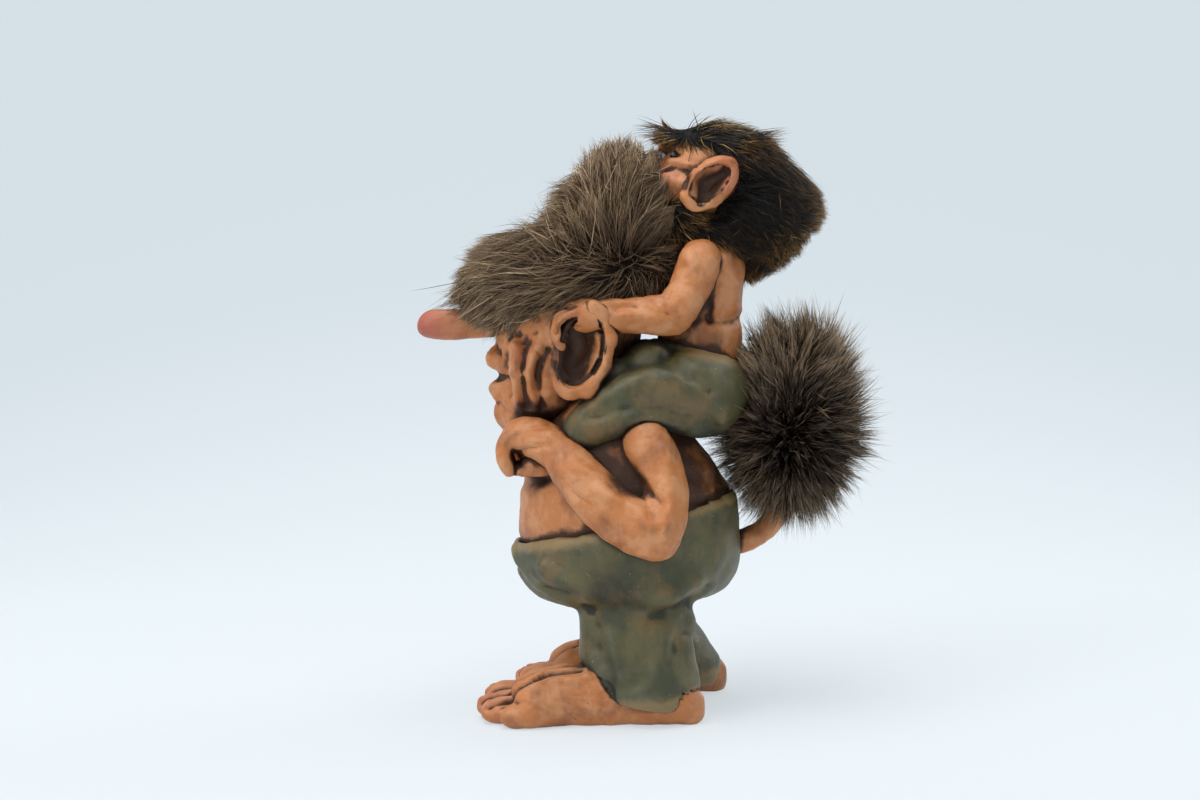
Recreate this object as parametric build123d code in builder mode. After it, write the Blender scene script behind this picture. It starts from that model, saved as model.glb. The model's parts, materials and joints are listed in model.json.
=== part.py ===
from build123d import *
import os
from math import cos, radians, sin

# A folk troll figure: a barefoot troll in green trousers carries a smaller troll on its back.
# Rubbery cast pieces are cemented together over wooden dowels, with glass bead eyes and real fur.
# Millimetres. The troll looks along -Y, its left side is +X, and it stands on the floor at Z = 0.
# The origin is on the floor under the middle of the whole figure.

# How the castings meet
glue_gap = 0.1            # room for cement round a dowel, a wire or a bead
crumb_share = 0.2         # a cut piece keeps the solids that are at least this share of its largest
seam_turn = (0, 90, 0)    # turns the seam of a bead's sphere away from the cuts, degrees

# Trousers of the large troll
waist_height = 80.0       # the middle of the waistband above the floor
waist_back = -9.6         # the middle of the hips along Y
waist_width = 87.0
waist_depth = 95.0
waist_slope = 13.3        # the waistband rises towards the back, degrees
hips_drop = 38.0          # from the middle of the waistband down to the crotch
hem_height = 7.0
hem_slope = -8.0          # the hem rises towards the toes, degrees
leg_spread = 26.0         # from the middle plane to the middle of a hem
leg_width = 38.0
leg_depth = 48.0
stride = 13.0             # how far the right foot stands behind the left one

# Feet of the large troll
foot_spread = 28.0        # from the middle plane to the middle of a foot
foot_back = 20.4          # the left heel along Y
foot_length = 73.0        # from the heel to the roots of the toes
foot_width = 33.0
foot_height = 21.5
toe_length = 12.0
toe_radius = 5.4

# Torso of the large troll
torso_width = 76.0
torso_depth = 89.0
torso_height = 78.0
torso_tuck = 22.0         # how deep the torso sits in the trousers

# Arms of the large troll
shoulder_spread = 33.0    # from the middle plane to the middle of a shoulder
shoulder_drop = 22.4      # below the top of the torso
shoulder_back = 6.6       # behind the middle of the hips
upper_arm_spread = 14.0   # how far the elbow stands out from the shoulder
upper_arm_sweep = 8.0
upper_arm_length = 37.0
upper_arm_radius = 9.5
forearm_inward = 17.0
forearm_reach = 37.0
forearm_rise = 31.0
forearm_radius = 10.5
hand_inward = 11.0        # from the wrist to the middle of the hand
hand_reach = 15.0
hand_rise = 6.0
hand_radius = 10.0
finger_reach = 8.0
finger_drop = 13.0
finger_radius = 3.4
finger_pitch = 5.4
finger_count = 4

# Head of the large troll
head_width = 60.0
head_depth = 60.0
head_height = 80.0
head_sink = 22.0          # how far the chin hangs below the top of the torso
head_lead = 23.0          # how far the head is thrust forward of the hips
head_tilt = 0.0           # how far it throws its face up, degrees
nose_length = 38.0        # from inside the face to the ball of the tip
nose_droop = 6.0
nose_radius = 6.5
eye_radius = 2.7
ear_height = 40.0
ear_depth = 24.0
ear_flare = 11.0
ear_rise = 34.0           # the middle of an ear above the chin
ear_lean = 17.0           # the top of an ear leans back, degrees

# Body of the small troll that rides
seat_rise = 33.0          # its crotch above the large troll's waistband
seat_back = 29.0          # its hips behind the large troll's
seat_width = 42.0
seat_depth = 39.0
seat_height = 35.0
seat_slope = -14.0        # its waistband rises towards the front, degrees
thigh_spread = 17.0
thigh_reach = 60.0
thigh_drop = 25.0
thigh_radius = 16.5
rider_torso_width = 38.0
rider_torso_depth = 36.0
rider_torso_height = 66.0
rider_torso_tuck = 10.0

# Arms and feet of the small troll
rider_shoulder_spread = 19.0
rider_shoulder_drop = 20.0
rider_upper_arm_spread = 7.0
rider_upper_arm_reach = 11.0
rider_upper_arm_length = 22.0
rider_forearm_spread = 6.0
rider_forearm_reach = 29.0
rider_arm_radius = 8.5
rider_hand_reach = 10.0
rider_hand_radius = 6.6
rider_finger_reach = 7.0
rider_finger_drop = 12.0
rider_finger_radius = 2.3
rider_finger_pitch = 3.8
rider_foot_length = 18.0
rider_foot_width = 15.0
rider_foot_height = 10.0
rider_toe_length = 4.0
rider_toe_radius = 2.3

# Head of the small troll
rider_head_width = 37.0
rider_head_depth = 36.0
rider_head_height = 48.0
rider_head_sink = 8.0     # how far its chin hangs below the top of its torso
rider_head_lead = 12.0    # how far its chin is thrust forward of its hips
rider_head_tilt = 33.0
rider_nose_length = 16.0
rider_nose_droop = 0.0
rider_nose_radius = 3.8
rider_eye_radius = 1.7
rider_ear_height = 27.0
rider_ear_depth = 17.0
rider_ear_flare = 7.0
rider_ear_rise = 24.0

# Fur
crest_length = 86.0       # the large troll's hair along Y, from its fringe to the rider
crest_width = 60.0
crest_height = 72.0
cap_thickness = 3.5       # the fur on the sides of the head
mane_length = 72.0        # the rider's hair along Y
mane_width = 46.0
mane_height = 58.0
tuft_length = 68.0        # the tail's tuft along Y
tuft_width = 62.0
tuft_height = 94.0

# Tail, dowels and wire
tail_height = 66.0        # the root of the tail above the floor
tail_reach = 31.0
tail_rise = 38.0
tail_radius = 5.0
tail_socket = 9.0         # how deep the root of the tail sits in the trousers
wire_radius = 0.9
wire_length = 56.0
dowel_radius = 2.5
dowel_length = 28.0
rider_dowel_radius = 1.8
rider_dowel_length = 20.0

end_angles = (45, 78)         # a rounded end closes over these angles, in degrees


def reach_out(anchor, reach, shares):
    """The point that lies the given shares of a reach away from an anchor."""
    return Vector(*(a + r * s for a, r, s in zip(anchor, reach, shares)))


def flesh(stations, across=(1, 0, 0), ahead=None, start_bulge=1.0, end_bulge=1.0, mode=Mode.ADD):
    """Lofts a limb through elliptical stations of (centre, half width, half depth).

    Each section stands square to the line of the centres, or faces ahead where that is given. An
    end bulges by that share of its smaller half girth, and an end with no bulge is flat.
    """
    across = Vector(*across)
    centres = [Vector(*centre) for centre, _, _ in stations]
    sections = []
    for i, (_, half_width, half_depth) in enumerate(stations):
        line = centres[min(i + 1, len(centres) - 1)] - centres[max(i - 1, 0)]
        way = Vector(*ahead) if ahead else line.normalized()
        sections.append((centres[i], way, half_width, half_depth))
    for bulge, sign in ((start_bulge, -1), (end_bulge, 1)):
        centre, way, half_width, half_depth = sections[0 if sign < 0 else -1]
        for angle in end_angles if bulge else ():
            shift = way * (min(half_width, half_depth) * bulge * sin(radians(angle)) * sign)
            shrink = cos(radians(angle))
            rounded = (centre + shift, way, half_width * shrink, half_depth * shrink)
            sections.insert(0 if sign < 0 else len(sections), rounded)
    profiles = []
    for centre, way, half_width, half_depth in sections:
        side = across - way * across.dot(way)
        with BuildSketch(Plane(origin=centre, x_dir=side, z_dir=way)) as profile:
            Ellipse(half_width, half_depth)
        profiles.append(profile.sketch.face())
    loft(profiles, mode=mode)


def limb(anchor, reach, girth, shares, **options):
    """A limb from (x, y, z, half width, half depth) shares of its reach and of its girth."""
    stations = [(reach_out(anchor, reach, row), girth * row[3], girth * row[4]) for row in shares]
    flesh(stations, **options)


def stack(base, height, width, depth, slope, shares):
    """A body lofted up from a plane, from (up, back, width, depth, slope) shares of its size."""
    profiles = []
    for up, back, width_share, depth_share, slope_share in shares:
        with BuildSketch(base.offset(height * up).rotated((slope * slope_share, 0, 0))) as profile:
            with Locations((0, depth * back)):
                Ellipse(width / 2 * width_share, depth / 2 * depth_share)
        profiles.append(profile.sketch.face())
    loft(profiles)


def carve(piece, *neighbours):
    """Cuts finished neighbours out of the piece that is being built."""
    mine = piece.part.bounding_box()
    for neighbour in neighbours:
        theirs = neighbour.part.bounding_box()
        meets = (
            mine.min.X < theirs.max.X and theirs.min.X < mine.max.X,
            mine.min.Y < theirs.max.Y and theirs.min.Y < mine.max.Y,
            mine.min.Z < theirs.max.Z and theirs.min.Z < mine.max.Z,
        )
        if all(meets):
            add(neighbour.part, mode=Mode.SUBTRACT)


def bore(*dowels):
    """Bores the holes that take the dowels or the wire, with room for cement."""
    for plane, radius, length in dowels:
        with Locations(plane):
            Cylinder(radius + glue_gap, length + 2 * glue_gap, mode=Mode.SUBTRACT)


def finish(piece, name):
    """Drops the crumbs of a cut, labels the piece and writes it to its file."""
    solids = piece.part.solids().sort_by(SortBy.VOLUME)
    kept = [solid for solid in solids if solid.volume >= solids[-1].volume * crumb_share]
    if len(kept) < len(solids):
        piece.part = Part(kept[0].wrapped) if len(kept) == 1 else Part(children=kept)
    piece.part.label = name
    export_step(piece.part, f"parts/{name}.step")


os.makedirs("parts", exist_ok=True)

# Places that the pieces share
torso_base = waist_height - torso_tuck
torso_top = torso_base + torso_height
crotch_height = waist_height - hips_drop
seat_middle = waist_back + seat_back
seat_base = waist_height + seat_rise
rider_waist = seat_base + seat_height
rider_torso_top = rider_waist - rider_torso_tuck + rider_torso_height
torso_plane = Plane.XY.offset(torso_base).shift_origin((0, waist_back, torso_base))
head_plane = Plane((0, waist_back - head_lead, torso_top - head_sink)).rotated((-head_tilt, 0, 0))
rider_chin = (0, seat_middle - rider_head_lead, rider_torso_top - rider_head_sink)
rider_head_plane = Plane(rider_chin).rotated((-rider_head_tilt, 0, 0))

# Dowels: one from the torso into the head, one under the rider and one in the rider's neck
neck_back_share = -0.13   # the neck's dowel behind the hips, by the torso's depth
neck_up_share = -0.1      # its middle above the torso, by its own length
seat_back_share = 0.24    # the seat's dowel behind the hips, by the torso's depth
seat_up_share = 0.22      # above the rider's crotch, by the height of its seat
nape_back_share = 0.1     # the rider's dowel behind its hips, by the depth of its torso
nape_up_share = 0.1       # its middle above the rider's torso, by its own length
neck_back = waist_back + torso_depth * neck_back_share
seat_dowel_back = waist_back + torso_depth * seat_back_share
nape_back = seat_middle + rider_torso_depth * nape_back_share
neck_dowel_plane = Plane((0, neck_back, torso_top + dowel_length * neck_up_share))
seat_dowel_plane = Plane((0, seat_dowel_back, seat_base + seat_height * seat_up_share), z_dir=(0, 1, 0))
rider_neck_plane = Plane((0, nape_back, rider_torso_top + rider_dowel_length * nape_up_share))
neck_bore = (neck_dowel_plane, dowel_radius, dowel_length)
seat_bore = (seat_dowel_plane, dowel_radius, dowel_length)
rider_neck_bore = (rider_neck_plane, rider_dowel_radius, rider_dowel_length)

with BuildPart(neck_dowel_plane) as neck_dowel:
    Cylinder(dowel_radius, dowel_length)
finish(neck_dowel, "neck_dowel")

with BuildPart(seat_dowel_plane) as rider_seat_dowel:
    Cylinder(dowel_radius, dowel_length)
finish(rider_seat_dowel, "rider_seat_dowel")

with BuildPart(rider_neck_plane) as rider_neck_dowel:
    Cylinder(rider_dowel_radius, rider_dowel_length)
finish(rider_neck_dowel, "rider_neck_dowel")

# Feet: a flat sole, a high instep and four splayed toes
foot_shares = [
    # back, half width, height
    (0.03, 0.50, 0.60),
    (0.09, 0.68, 0.82),
    (0.25, 0.74, 0.92),
    (0.44, 0.72, 0.93),
    (0.64, 0.82, 1.00),
    (0.83, 0.97, 0.96),
    (0.97, 1.00, 0.80),
]
toe_shares = [
    # outward, root along the foot, length, radius
    (0.74, 0.92, 0.75, 0.85),
    (0.27, 0.97, 1.05, 0.92),
    (-0.21, 0.98, 1.15, 0.98),
    (-0.71, 0.95, 1.05, 1.20),
]
sole_share = 0.16         # how much of a foot's roundness the flat sole cuts away
heel_bulge_share = 0.4
ball_bulge_share = 0.5


def foot_shape(spread, heel, height, length, width, ball, toe):
    """A bare foot on a level: (spread, heel, height) is the middle of its heel on the sole."""
    stations = []
    for back, width_share, height_share in foot_shares:
        half_height = height_share * ball * (1 + sole_share) / 2
        centre = (spread, heel - length * back, height + height_share * ball - half_height)
        stations.append((centre, width / 2 * width_share, half_height))
    flesh(stations, ahead=(0, -1, 0), start_bulge=heel_bulge_share, end_bulge=ball_bulge_share)
    for outward, root, reach, radius in toe_shares:
        start = Vector(spread + width / 2 * outward, heel - length * root, height + toe[1] * radius)
        tip = start + Vector(0, -toe[0] * reach, 0)
        flesh([(start, toe[1] * radius, toe[1] * radius), (tip, toe[1] * radius, toe[1] * radius)])
    split(bisect_by=Plane.XY.offset(height), keep=Keep.TOP)


with BuildPart() as left_foot:
    foot_shape(foot_spread, foot_back, 0, foot_length, foot_width, foot_height, (toe_length, toe_radius))
finish(left_foot, "left_foot")

with BuildPart() as right_foot:
    mirror(left_foot.part.moved(Location((0, stride, 0))), about=Plane.YZ)
finish(right_foot, "right_foot")

# Torso: a pear-shaped belly that narrows to a neck
torso_shares = [
    # up, back, width, depth, slope
    (0.00, 0.02, 0.62, 0.66, 0),
    (0.08, 0.01, 0.85, 0.88, 0),
    (0.18, 0.00, 0.97, 0.99, 0),
    (0.31, 0.00, 1.00, 1.00, 0),
    (0.44, -0.01, 0.98, 0.96, 0),
    (0.56, -0.02, 0.94, 0.85, 0),
    (0.69, -0.04, 0.88, 0.72, 0),
    (0.82, -0.07, 0.72, 0.58, 0),
    (0.92, -0.10, 0.50, 0.42, 0),
    (1.00, -0.12, 0.24, 0.22, 0),
]
with BuildPart() as torso:
    stack(torso_plane, torso_height, torso_width, torso_depth, 0, torso_shares)
    bore(neck_bore, seat_bore)
finish(torso, "torso")

# Tail: a bent stem in a socket, and a stiff wire that holds up its tuft
tail_anchor = (0, waist_back + waist_depth / 2 - tail_socket, tail_height)
tail_shares = [
    # x, back, up, half width, half depth
    (0, 0.00, 0.00, 1.00, 1.00),
    (0, 0.20, 0.04, 1.00, 1.00),
    (0, 0.46, 0.11, 0.98, 0.98),
    (0, 0.68, 0.25, 0.95, 0.95),
    (0, 0.86, 0.46, 0.90, 0.90),
    (0, 0.96, 0.70, 0.86, 0.86),
    (0, 1.00, 1.00, 0.80, 0.80),
]
wire_sink_share = 0.2     # how deep the wire sits in the stem, by the tail's rise
tail_tip = reach_out(tail_anchor, (0, tail_reach, tail_rise), (0, 1, 1))
wire_plane = Plane(tail_tip + Vector(0, 0, wire_length / 2 - tail_rise * wire_sink_share))
wire_bore = (wire_plane, wire_radius, wire_length)
with BuildPart(wire_plane) as tail_wire:
    Cylinder(wire_radius, wire_length)
finish(tail_wire, "tail_wire")

with BuildPart() as tail_stem:
    limb(tail_anchor, (0, tail_reach, tail_rise), tail_radius, tail_shares, start_bulge=0)
    carve(tail_stem, torso)
    bore(wire_bore)
finish(tail_stem, "tail_stem")

# Trousers of the large troll: wide hips with a sloping waistband, and two flared legs
hips_shares = [
    # up, back, width, depth, slope
    (0.00, 0.050, 0.69, 0.42, 0.00),
    (0.13, 0.030, 0.87, 0.76, 0.15),
    (0.32, 0.020, 0.97, 0.92, 0.30),
    (0.53, 0.010, 1.00, 0.98, 0.53),
    (0.74, 0.000, 1.00, 1.00, 0.75),
    (0.89, -0.005, 0.98, 1.00, 0.90),
    (1.00, -0.018, 0.95, 0.98, 1.00),
]
leg_shares = [
    # outward, stride, down, half width, half depth
    (0.77, 0.00, -0.05, 0.88, 1.00),
    (0.84, 0.10, 0.20, 0.88, 0.97),
    (0.90, 0.40, 0.45, 0.88, 0.95),
    (0.96, 0.80, 0.75, 1.00, 0.99),
    (1.00, 1.00, 0.93, 0.99, 0.94),
    (1.00, 1.00, 1.00, 0.90, 0.86),
]
leg_lean = 3.0            # how far the left hem stands behind the left hip
leg_root_share = 0.2      # how far the legs reach up into the hips, by the drop of the hips


def trouser_leg(side, lean):
    """One leg of the trousers, on the side given, with its hem that far behind the hip."""
    top = crotch_height + hips_drop * leg_root_share
    profiles = []
    for outward, swing, down, width_share, depth_share in leg_shares:
        height = top - (top - hem_height) * down
        level = Plane((side * leg_spread * outward, waist_back + leg_lean + lean * swing, height))
        with BuildSketch(level.rotated((hem_slope * down, 0, 0))) as profile:
            Ellipse(leg_width / 2 * width_share, leg_depth / 2 * depth_share)
        profiles.append(profile.sketch.face())
    loft(profiles)


with BuildPart() as trousers:
    hips_plane = Plane((0, waist_back, crotch_height))
    stack(hips_plane, hips_drop, waist_width, waist_depth, waist_slope, hips_shares)
    trouser_leg(1, leg_lean)
    trouser_leg(-1, leg_lean + stride)
    carve(trousers, torso, left_foot, right_foot, tail_stem)
finish(trousers, "trousers")

# Heads: a tall skull with a jutting jaw, full lips and round cheeks
skull_shares = [
    # up, back, width, depth, slope
    (0.00, -0.317, 0.26, 0.23, 0),
    (0.05, -0.267, 0.47, 0.43, 0),
    (0.15, -0.183, 0.67, 0.63, 0),
    (0.275, -0.10, 0.83, 0.83, 0),
    (0.425, -0.033, 0.96, 0.97, 0),
    (0.575, 0.000, 1.00, 1.00, 0),
    (0.725, 0.033, 0.95, 0.97, 0),
    (0.85, 0.067, 0.80, 0.84, 0),
    (0.95, 0.083, 0.56, 0.57, 0),
    (1.00, 0.083, 0.30, 0.30, 0),
]
lip_shares = [
    # back, up, half length, half thickness, half height
    (-0.46, 0.375, 0.22, 0.100, 0.068),
    (-0.45, 0.205, 0.20, 0.095, 0.068),
]
lip_bow_shares = [
    # across, forward, girth
    (-1.0, -1.0, 0.55),
    (-0.5, -0.2, 0.90),
    (0.0, 0.0, 1.00),
    (0.5, -0.2, 0.90),
    (1.0, -1.0, 0.55),
]
nose_shares = [
    # x, ahead, up, half width, half height
    (0, 0.00, 0.00, 2.00, 2.15),
    (0, 0.16, 0.17, 1.70, 1.80),
    (0, 0.32, 0.55, 1.25, 1.30),
    (0, 0.47, 0.83, 1.05, 1.06),
    (0, 0.65, 1.00, 0.98, 0.98),
    (0, 0.84, 1.05, 1.00, 1.00),
    (0, 1.00, 1.05, 0.95, 0.95),
]
nose_root_share = (0, -0.32, 0.63)       # of the head's width, depth and height
eye_share = (0.235, -0.42, 0.56)
cheek_share = (0.30, -0.27, 0.36)
chin_share = (0, -0.42, 0.075)
cheek_radius_share = 0.15                # of the head's width
chin_radius_share = 0.10
ear_share = (0.47, 0.08)                 # of the head's width and depth
ear_dish_shares = [
    # out, half depth, half height
    (-0.60, 0.62, 0.66),
    (0.00, 0.84, 0.86),
    (0.45, 1.00, 1.00),
    (0.75, 0.90, 0.92),
]
ear_bulge_share = 0.25
concha_bulge_share = 0.3
concha_shares = [
    # out, half depth, half height
    (0.30, 0.30, 0.34),
    (0.62, 0.56, 0.62),
    (1.20, 0.70, 0.74),
]


def in_head(frame, size, share):
    """The place in the room of a point given as shares of a head's width, depth and height."""
    return frame.from_local_coords(Vector(*(length * part for length, part in zip(size, share))))


def turned(frame, reach):
    """A reach that is given along a head's own directions, as one in the room."""
    return frame.x_dir * reach[0] + frame.y_dir * reach[1] + frame.z_dir * reach[2]


def head_shape(frame, size):
    """A skull with its cheeks, lips and chin, of the given width, depth and height."""
    width, depth, height = size
    stack(frame, height, width, depth, 0, skull_shares)
    for back, up, half_length, half_thickness, half_height in lip_shares:
        stations = []
        for across, forward, girth in lip_bow_shares:
            middle = in_head(frame, size, (half_length * across, back - half_thickness * forward, up))
            stations.append((middle, depth * half_thickness * girth, height * half_height * girth))
        flesh(stations, across=frame.y_dir, ahead=frame.x_dir)
    cheeks = [in_head(frame, size, (side * cheek_share[0], *cheek_share[1:])) for side in (1, -1)]
    with Locations(*cheeks):
        Sphere(width * cheek_radius_share)
    with Locations(in_head(frame, size, chin_share)):
        Sphere(width * chin_radius_share)


def nose_shape(frame, size, length, droop, radius):
    """A long nose that starts inside the face and ends in a round ball."""
    stations = []
    for _, ahead, down, half_width, half_height in nose_shares:
        reach = turned(frame, (0, -length * ahead, -droop * down))
        place = in_head(frame, size, nose_root_share) + reach
        stations.append((place, radius * half_width, radius * half_height))
    flesh(stations, across=frame.x_dir, start_bulge=0)


def ear_shape(frame, size, height, depth, flare, rise):
    """A left ear: a leaning oval dish with a hollow in its outer face."""
    middle = in_head(frame, size, (*ear_share, 0)) + frame.z_dir * rise
    across = frame.y_dir * cos(radians(ear_lean)) - frame.z_dir * sin(radians(ear_lean))
    dish = (ear_dish_shares, Mode.ADD, ear_bulge_share)
    hollow = (concha_shares, Mode.SUBTRACT, concha_bulge_share)
    for shares, mode, bulge in (dish, hollow):
        stations = [
            (middle + frame.x_dir * (flare * out), depth / 2 * half_depth, height / 2 * half_height)
            for out, half_depth, half_height in shares
        ]
        flesh(stations, across=across, ahead=frame.x_dir, start_bulge=bulge, end_bulge=bulge, mode=mode)


def troll_head(prefix, frame, size, nose, bead_radius, ear, bores, torso_piece):
    """A head with its nose, its eyes and its ears, each cut to its seat and written."""
    eye_places = [in_head(frame, size, (side * eye_share[0], *eye_share[1:])) for side in (1, -1)]
    eyes = []
    for place, side_name in zip(eye_places, ("left", "right")):
        with BuildPart() as eye:
            with Locations(place):
                Sphere(bead_radius, rotation=seam_turn)
        finish(eye, f"{prefix}{side_name}_eye")
        eyes.append(eye)
    with BuildPart() as head:
        head_shape(frame, size)
        carve(head, torso_piece)
        with Locations(*eye_places):
            Sphere(bead_radius + glue_gap, rotation=seam_turn, mode=Mode.SUBTRACT)
        bore(*bores)
    finish(head, f"{prefix}head")
    with BuildPart() as nose_piece:
        nose_shape(frame, size, *nose)
        carve(nose_piece, head)
    finish(nose_piece, f"{prefix}nose")
    with BuildPart() as left_ear:
        ear_shape(frame, size, *ear)
        carve(left_ear, head, torso_piece)
    finish(left_ear, f"{prefix}left_ear")
    with BuildPart() as right_ear:
        mirror(left_ear.part, about=Plane.YZ)
    finish(right_ear, f"{prefix}right_ear")
    return [head, nose_piece, left_ear, right_ear, *eyes]


head_size = (head_width, head_depth, head_height)
nose_size = (nose_length, nose_droop, nose_radius)
ear_size = (ear_height, ear_depth, ear_flare, ear_rise)
face = troll_head("", head_plane, head_size, nose_size, eye_radius, ear_size, [neck_bore], torso)
head = face[0]

# Arms of the large troll: bent at the elbow, with the hand under the rider's foot
upper_arm_shares = [
    # out, back, down, half width, half depth
    (0.00, 0.00, 0.00, 1.00, 1.00),
    (0.25, 0.70, 0.31, 0.96, 1.00),
    (0.62, 1.00, 0.69, 0.94, 0.96),
    (1.00, 0.50, 1.00, 1.00, 1.00),
]
forearm_shares = [
    # in, ahead, up, half width, half depth
    (0.00, 0.00, 0.00, 0.92, 0.92),
    (0.20, 0.32, 0.19, 1.00, 1.02),
    (0.50, 0.69, 0.56, 0.92, 0.95),
    (1.00, 1.00, 1.00, 0.78, 0.80),
]
palm_shares = [
    # in, ahead, up, half width, half depth
    (0.00, 0.00, 0.00, 0.85, 0.80),
    (0.50, 0.50, 0.70, 1.05, 0.86),
    (1.00, 1.00, 1.00, 1.05, 0.80),
]
finger_shares = [
    # across, ahead, down, half width, half depth
    (0, 0.00, -0.10, 1.00, 1.00),
    (0, 0.85, 0.12, 1.05, 1.05),
    (0, 1.00, 0.62, 0.95, 0.95),
    (0, 0.75, 1.00, 0.85, 0.85),
]


def fingers(palm, pitch, reach, drop, radius):
    """Four fingers that bend down from the front of a palm."""
    for finger in range(finger_count):
        across = pitch * ((finger_count - 1) / 2 - finger)
        limb(palm + Vector(across, 0, 0), (0, -reach, -drop), radius, finger_shares)


# The foot of the rider, which the hand holds
hip_share = (0.76, 0.08, 0.5)       # of the thighs' spread, the seat's depth and its height
ankle_share = (0.5, -0.98, -1.1)    # of the thighs' spread, reach and drop
heel_share = (0.2, -0.5)            # of the rider's foot, behind and above the ankle
hip_base = (0, seat_middle, seat_base)
thigh_anchor = reach_out(hip_base, (thigh_spread, seat_depth, seat_height), hip_share)
rider_ankle = reach_out(thigh_anchor, (thigh_spread, thigh_reach, thigh_drop), ankle_share)
rider_heel = rider_ankle.Y + rider_foot_length * heel_share[0]
rider_sole = rider_ankle.Z + rider_foot_height * heel_share[1]
rider_toe = (rider_toe_length, rider_toe_radius)
with BuildPart() as rider_left_foot:
    foot_shape(
        rider_ankle.X, rider_heel, rider_sole,
        rider_foot_length, rider_foot_width, rider_foot_height, rider_toe,
    )
    carve(rider_left_foot, torso, head)
finish(rider_left_foot, "rider_left_foot")

with BuildPart() as rider_right_foot:
    mirror(rider_left_foot.part, about=Plane.YZ)
finish(rider_right_foot, "rider_right_foot")

shoulder = Vector(shoulder_spread, waist_back + shoulder_back, torso_top - shoulder_drop)
upper_arm_reach = (upper_arm_spread, upper_arm_sweep, -upper_arm_length)
elbow = reach_out(shoulder, upper_arm_reach, upper_arm_shares[-1])
wrist = elbow + Vector(-forearm_inward, -forearm_reach, forearm_rise)
palm = wrist + Vector(-hand_inward, -hand_reach, hand_rise)
with BuildPart() as left_arm:
    limb(shoulder, upper_arm_reach, upper_arm_radius, upper_arm_shares)
    limb(elbow, (-forearm_inward, -forearm_reach, forearm_rise), forearm_radius, forearm_shares)
    limb(wrist, (-hand_inward, -hand_reach, hand_rise), hand_radius, palm_shares)
    fingers(palm, finger_pitch, finger_reach, finger_drop, finger_radius)
    carve(left_arm, torso, trousers, head, rider_left_foot)
finish(left_arm, "left_arm")

with BuildPart() as right_arm:
    mirror(left_arm.part, about=Plane.YZ)
finish(right_arm, "right_arm")

# Body of the small troll: its seat and thighs in trousers, and its bare back
rider_torso_shares = [
    # up, back, width, depth, slope
    (0.00, 0.000, 0.88, 0.92, 0),
    (0.15, 0.014, 0.97, 1.00, 0),
    (0.34, 0.056, 0.96, 0.92, 0),
    (0.52, 0.097, 1.00, 0.86, 0),
    (0.70, 0.140, 1.00, 0.75, 0),
    (0.82, 0.155, 0.79, 0.58, 0),
    (0.91, 0.140, 0.44, 0.42, 0),
    (1.00, 0.090, 0.34, 0.34, 0),
]
seat_shares = [
    # up, back, width, depth, slope
    (0.00, 0.02, 0.55, 0.50, 0.0),
    (0.10, 0.01, 0.82, 0.80, 0.1),
    (0.30, 0.00, 0.98, 0.98, 0.3),
    (0.55, 0.00, 1.03, 1.02, 0.6),
    (0.80, 0.00, 1.02, 1.02, 0.8),
    (1.00, 0.00, 1.00, 1.01, 1.0),
]
thigh_shares = [
    # out, ahead, down, half width, half depth
    (0.00, 0.00, 0.00, 1.05, 1.05),
    (0.65, 0.27, 0.00, 0.92, 0.92),
    (1.00, 0.53, 0.16, 0.76, 0.78),
    (1.00, 0.73, 0.42, 0.62, 0.62),
    (0.82, 0.88, 0.70, 0.48, 0.48),
    (0.60, 0.97, 0.95, 0.40, 0.40),
]
rider_torso_plane = Plane((0, seat_middle, rider_waist - rider_torso_tuck))
with BuildPart() as rider_torso:
    stack(
        rider_torso_plane, rider_torso_height, rider_torso_width, rider_torso_depth, 0, rider_torso_shares,
    )
    carve(rider_torso, head)
    bore(rider_neck_bore)
finish(rider_torso, "rider_torso")

with BuildPart() as rider_trousers:
    stack(Plane(hip_base), seat_height, seat_width, seat_depth, seat_slope, seat_shares)
    for side in (1, -1):
        anchor = Vector(side * thigh_anchor.X, thigh_anchor.Y, thigh_anchor.Z)
        limb(anchor, (side * thigh_spread, -thigh_reach, -thigh_drop), thigh_radius, thigh_shares)
    carve(rider_trousers, rider_torso, torso, head, left_arm, right_arm)
    carve(rider_trousers, rider_left_foot, rider_right_foot, *face[2:4])
    bore(seat_bore)
finish(rider_trousers, "rider_trousers")

rider_size = (rider_head_width, rider_head_depth, rider_head_height)
rider_nose = (rider_nose_length, rider_nose_droop, rider_nose_radius)
rider_ear = (rider_ear_height, rider_ear_depth, rider_ear_flare, rider_ear_rise)
rider_face = troll_head(
    "rider_", rider_head_plane, rider_size, rider_nose, rider_eye_radius, rider_ear,
    [rider_neck_bore], rider_torso,
)

# Arms of the small troll: it holds on to the large troll's ears
rider_upper_arm_shares = [
    # out, ahead, down, half width, half depth
    (0.00, 0.00, 0.00, 1.00, 1.00),
    (0.50, 0.35, 0.45, 0.98, 0.98),
    (1.00, 1.00, 1.00, 0.92, 0.92),
]
rider_forearm_shares = [
    # out, ahead, down, half width, half depth
    (0.00, 0.00, 0.00, 0.92, 0.92),
    (0.45, 0.45, 0.00, 0.86, 0.86),
    (1.00, 1.00, 0.00, 0.72, 0.74),
]
rider_wrist_share = 0.9             # how flat the rider's wrist is, by the girth of its hand
rider_upper_reach = (rider_upper_arm_spread, -rider_upper_arm_reach, -rider_upper_arm_length)
rider_forearm = (rider_forearm_spread, -rider_forearm_reach, 0)
rider_shoulder = Vector(rider_shoulder_spread, seat_middle, rider_torso_top - rider_shoulder_drop)
rider_elbow = rider_shoulder + Vector(*rider_upper_reach)
rider_wrist = rider_elbow + Vector(*rider_forearm)
rider_palm = rider_wrist + Vector(0, -rider_hand_reach, 0)
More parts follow.
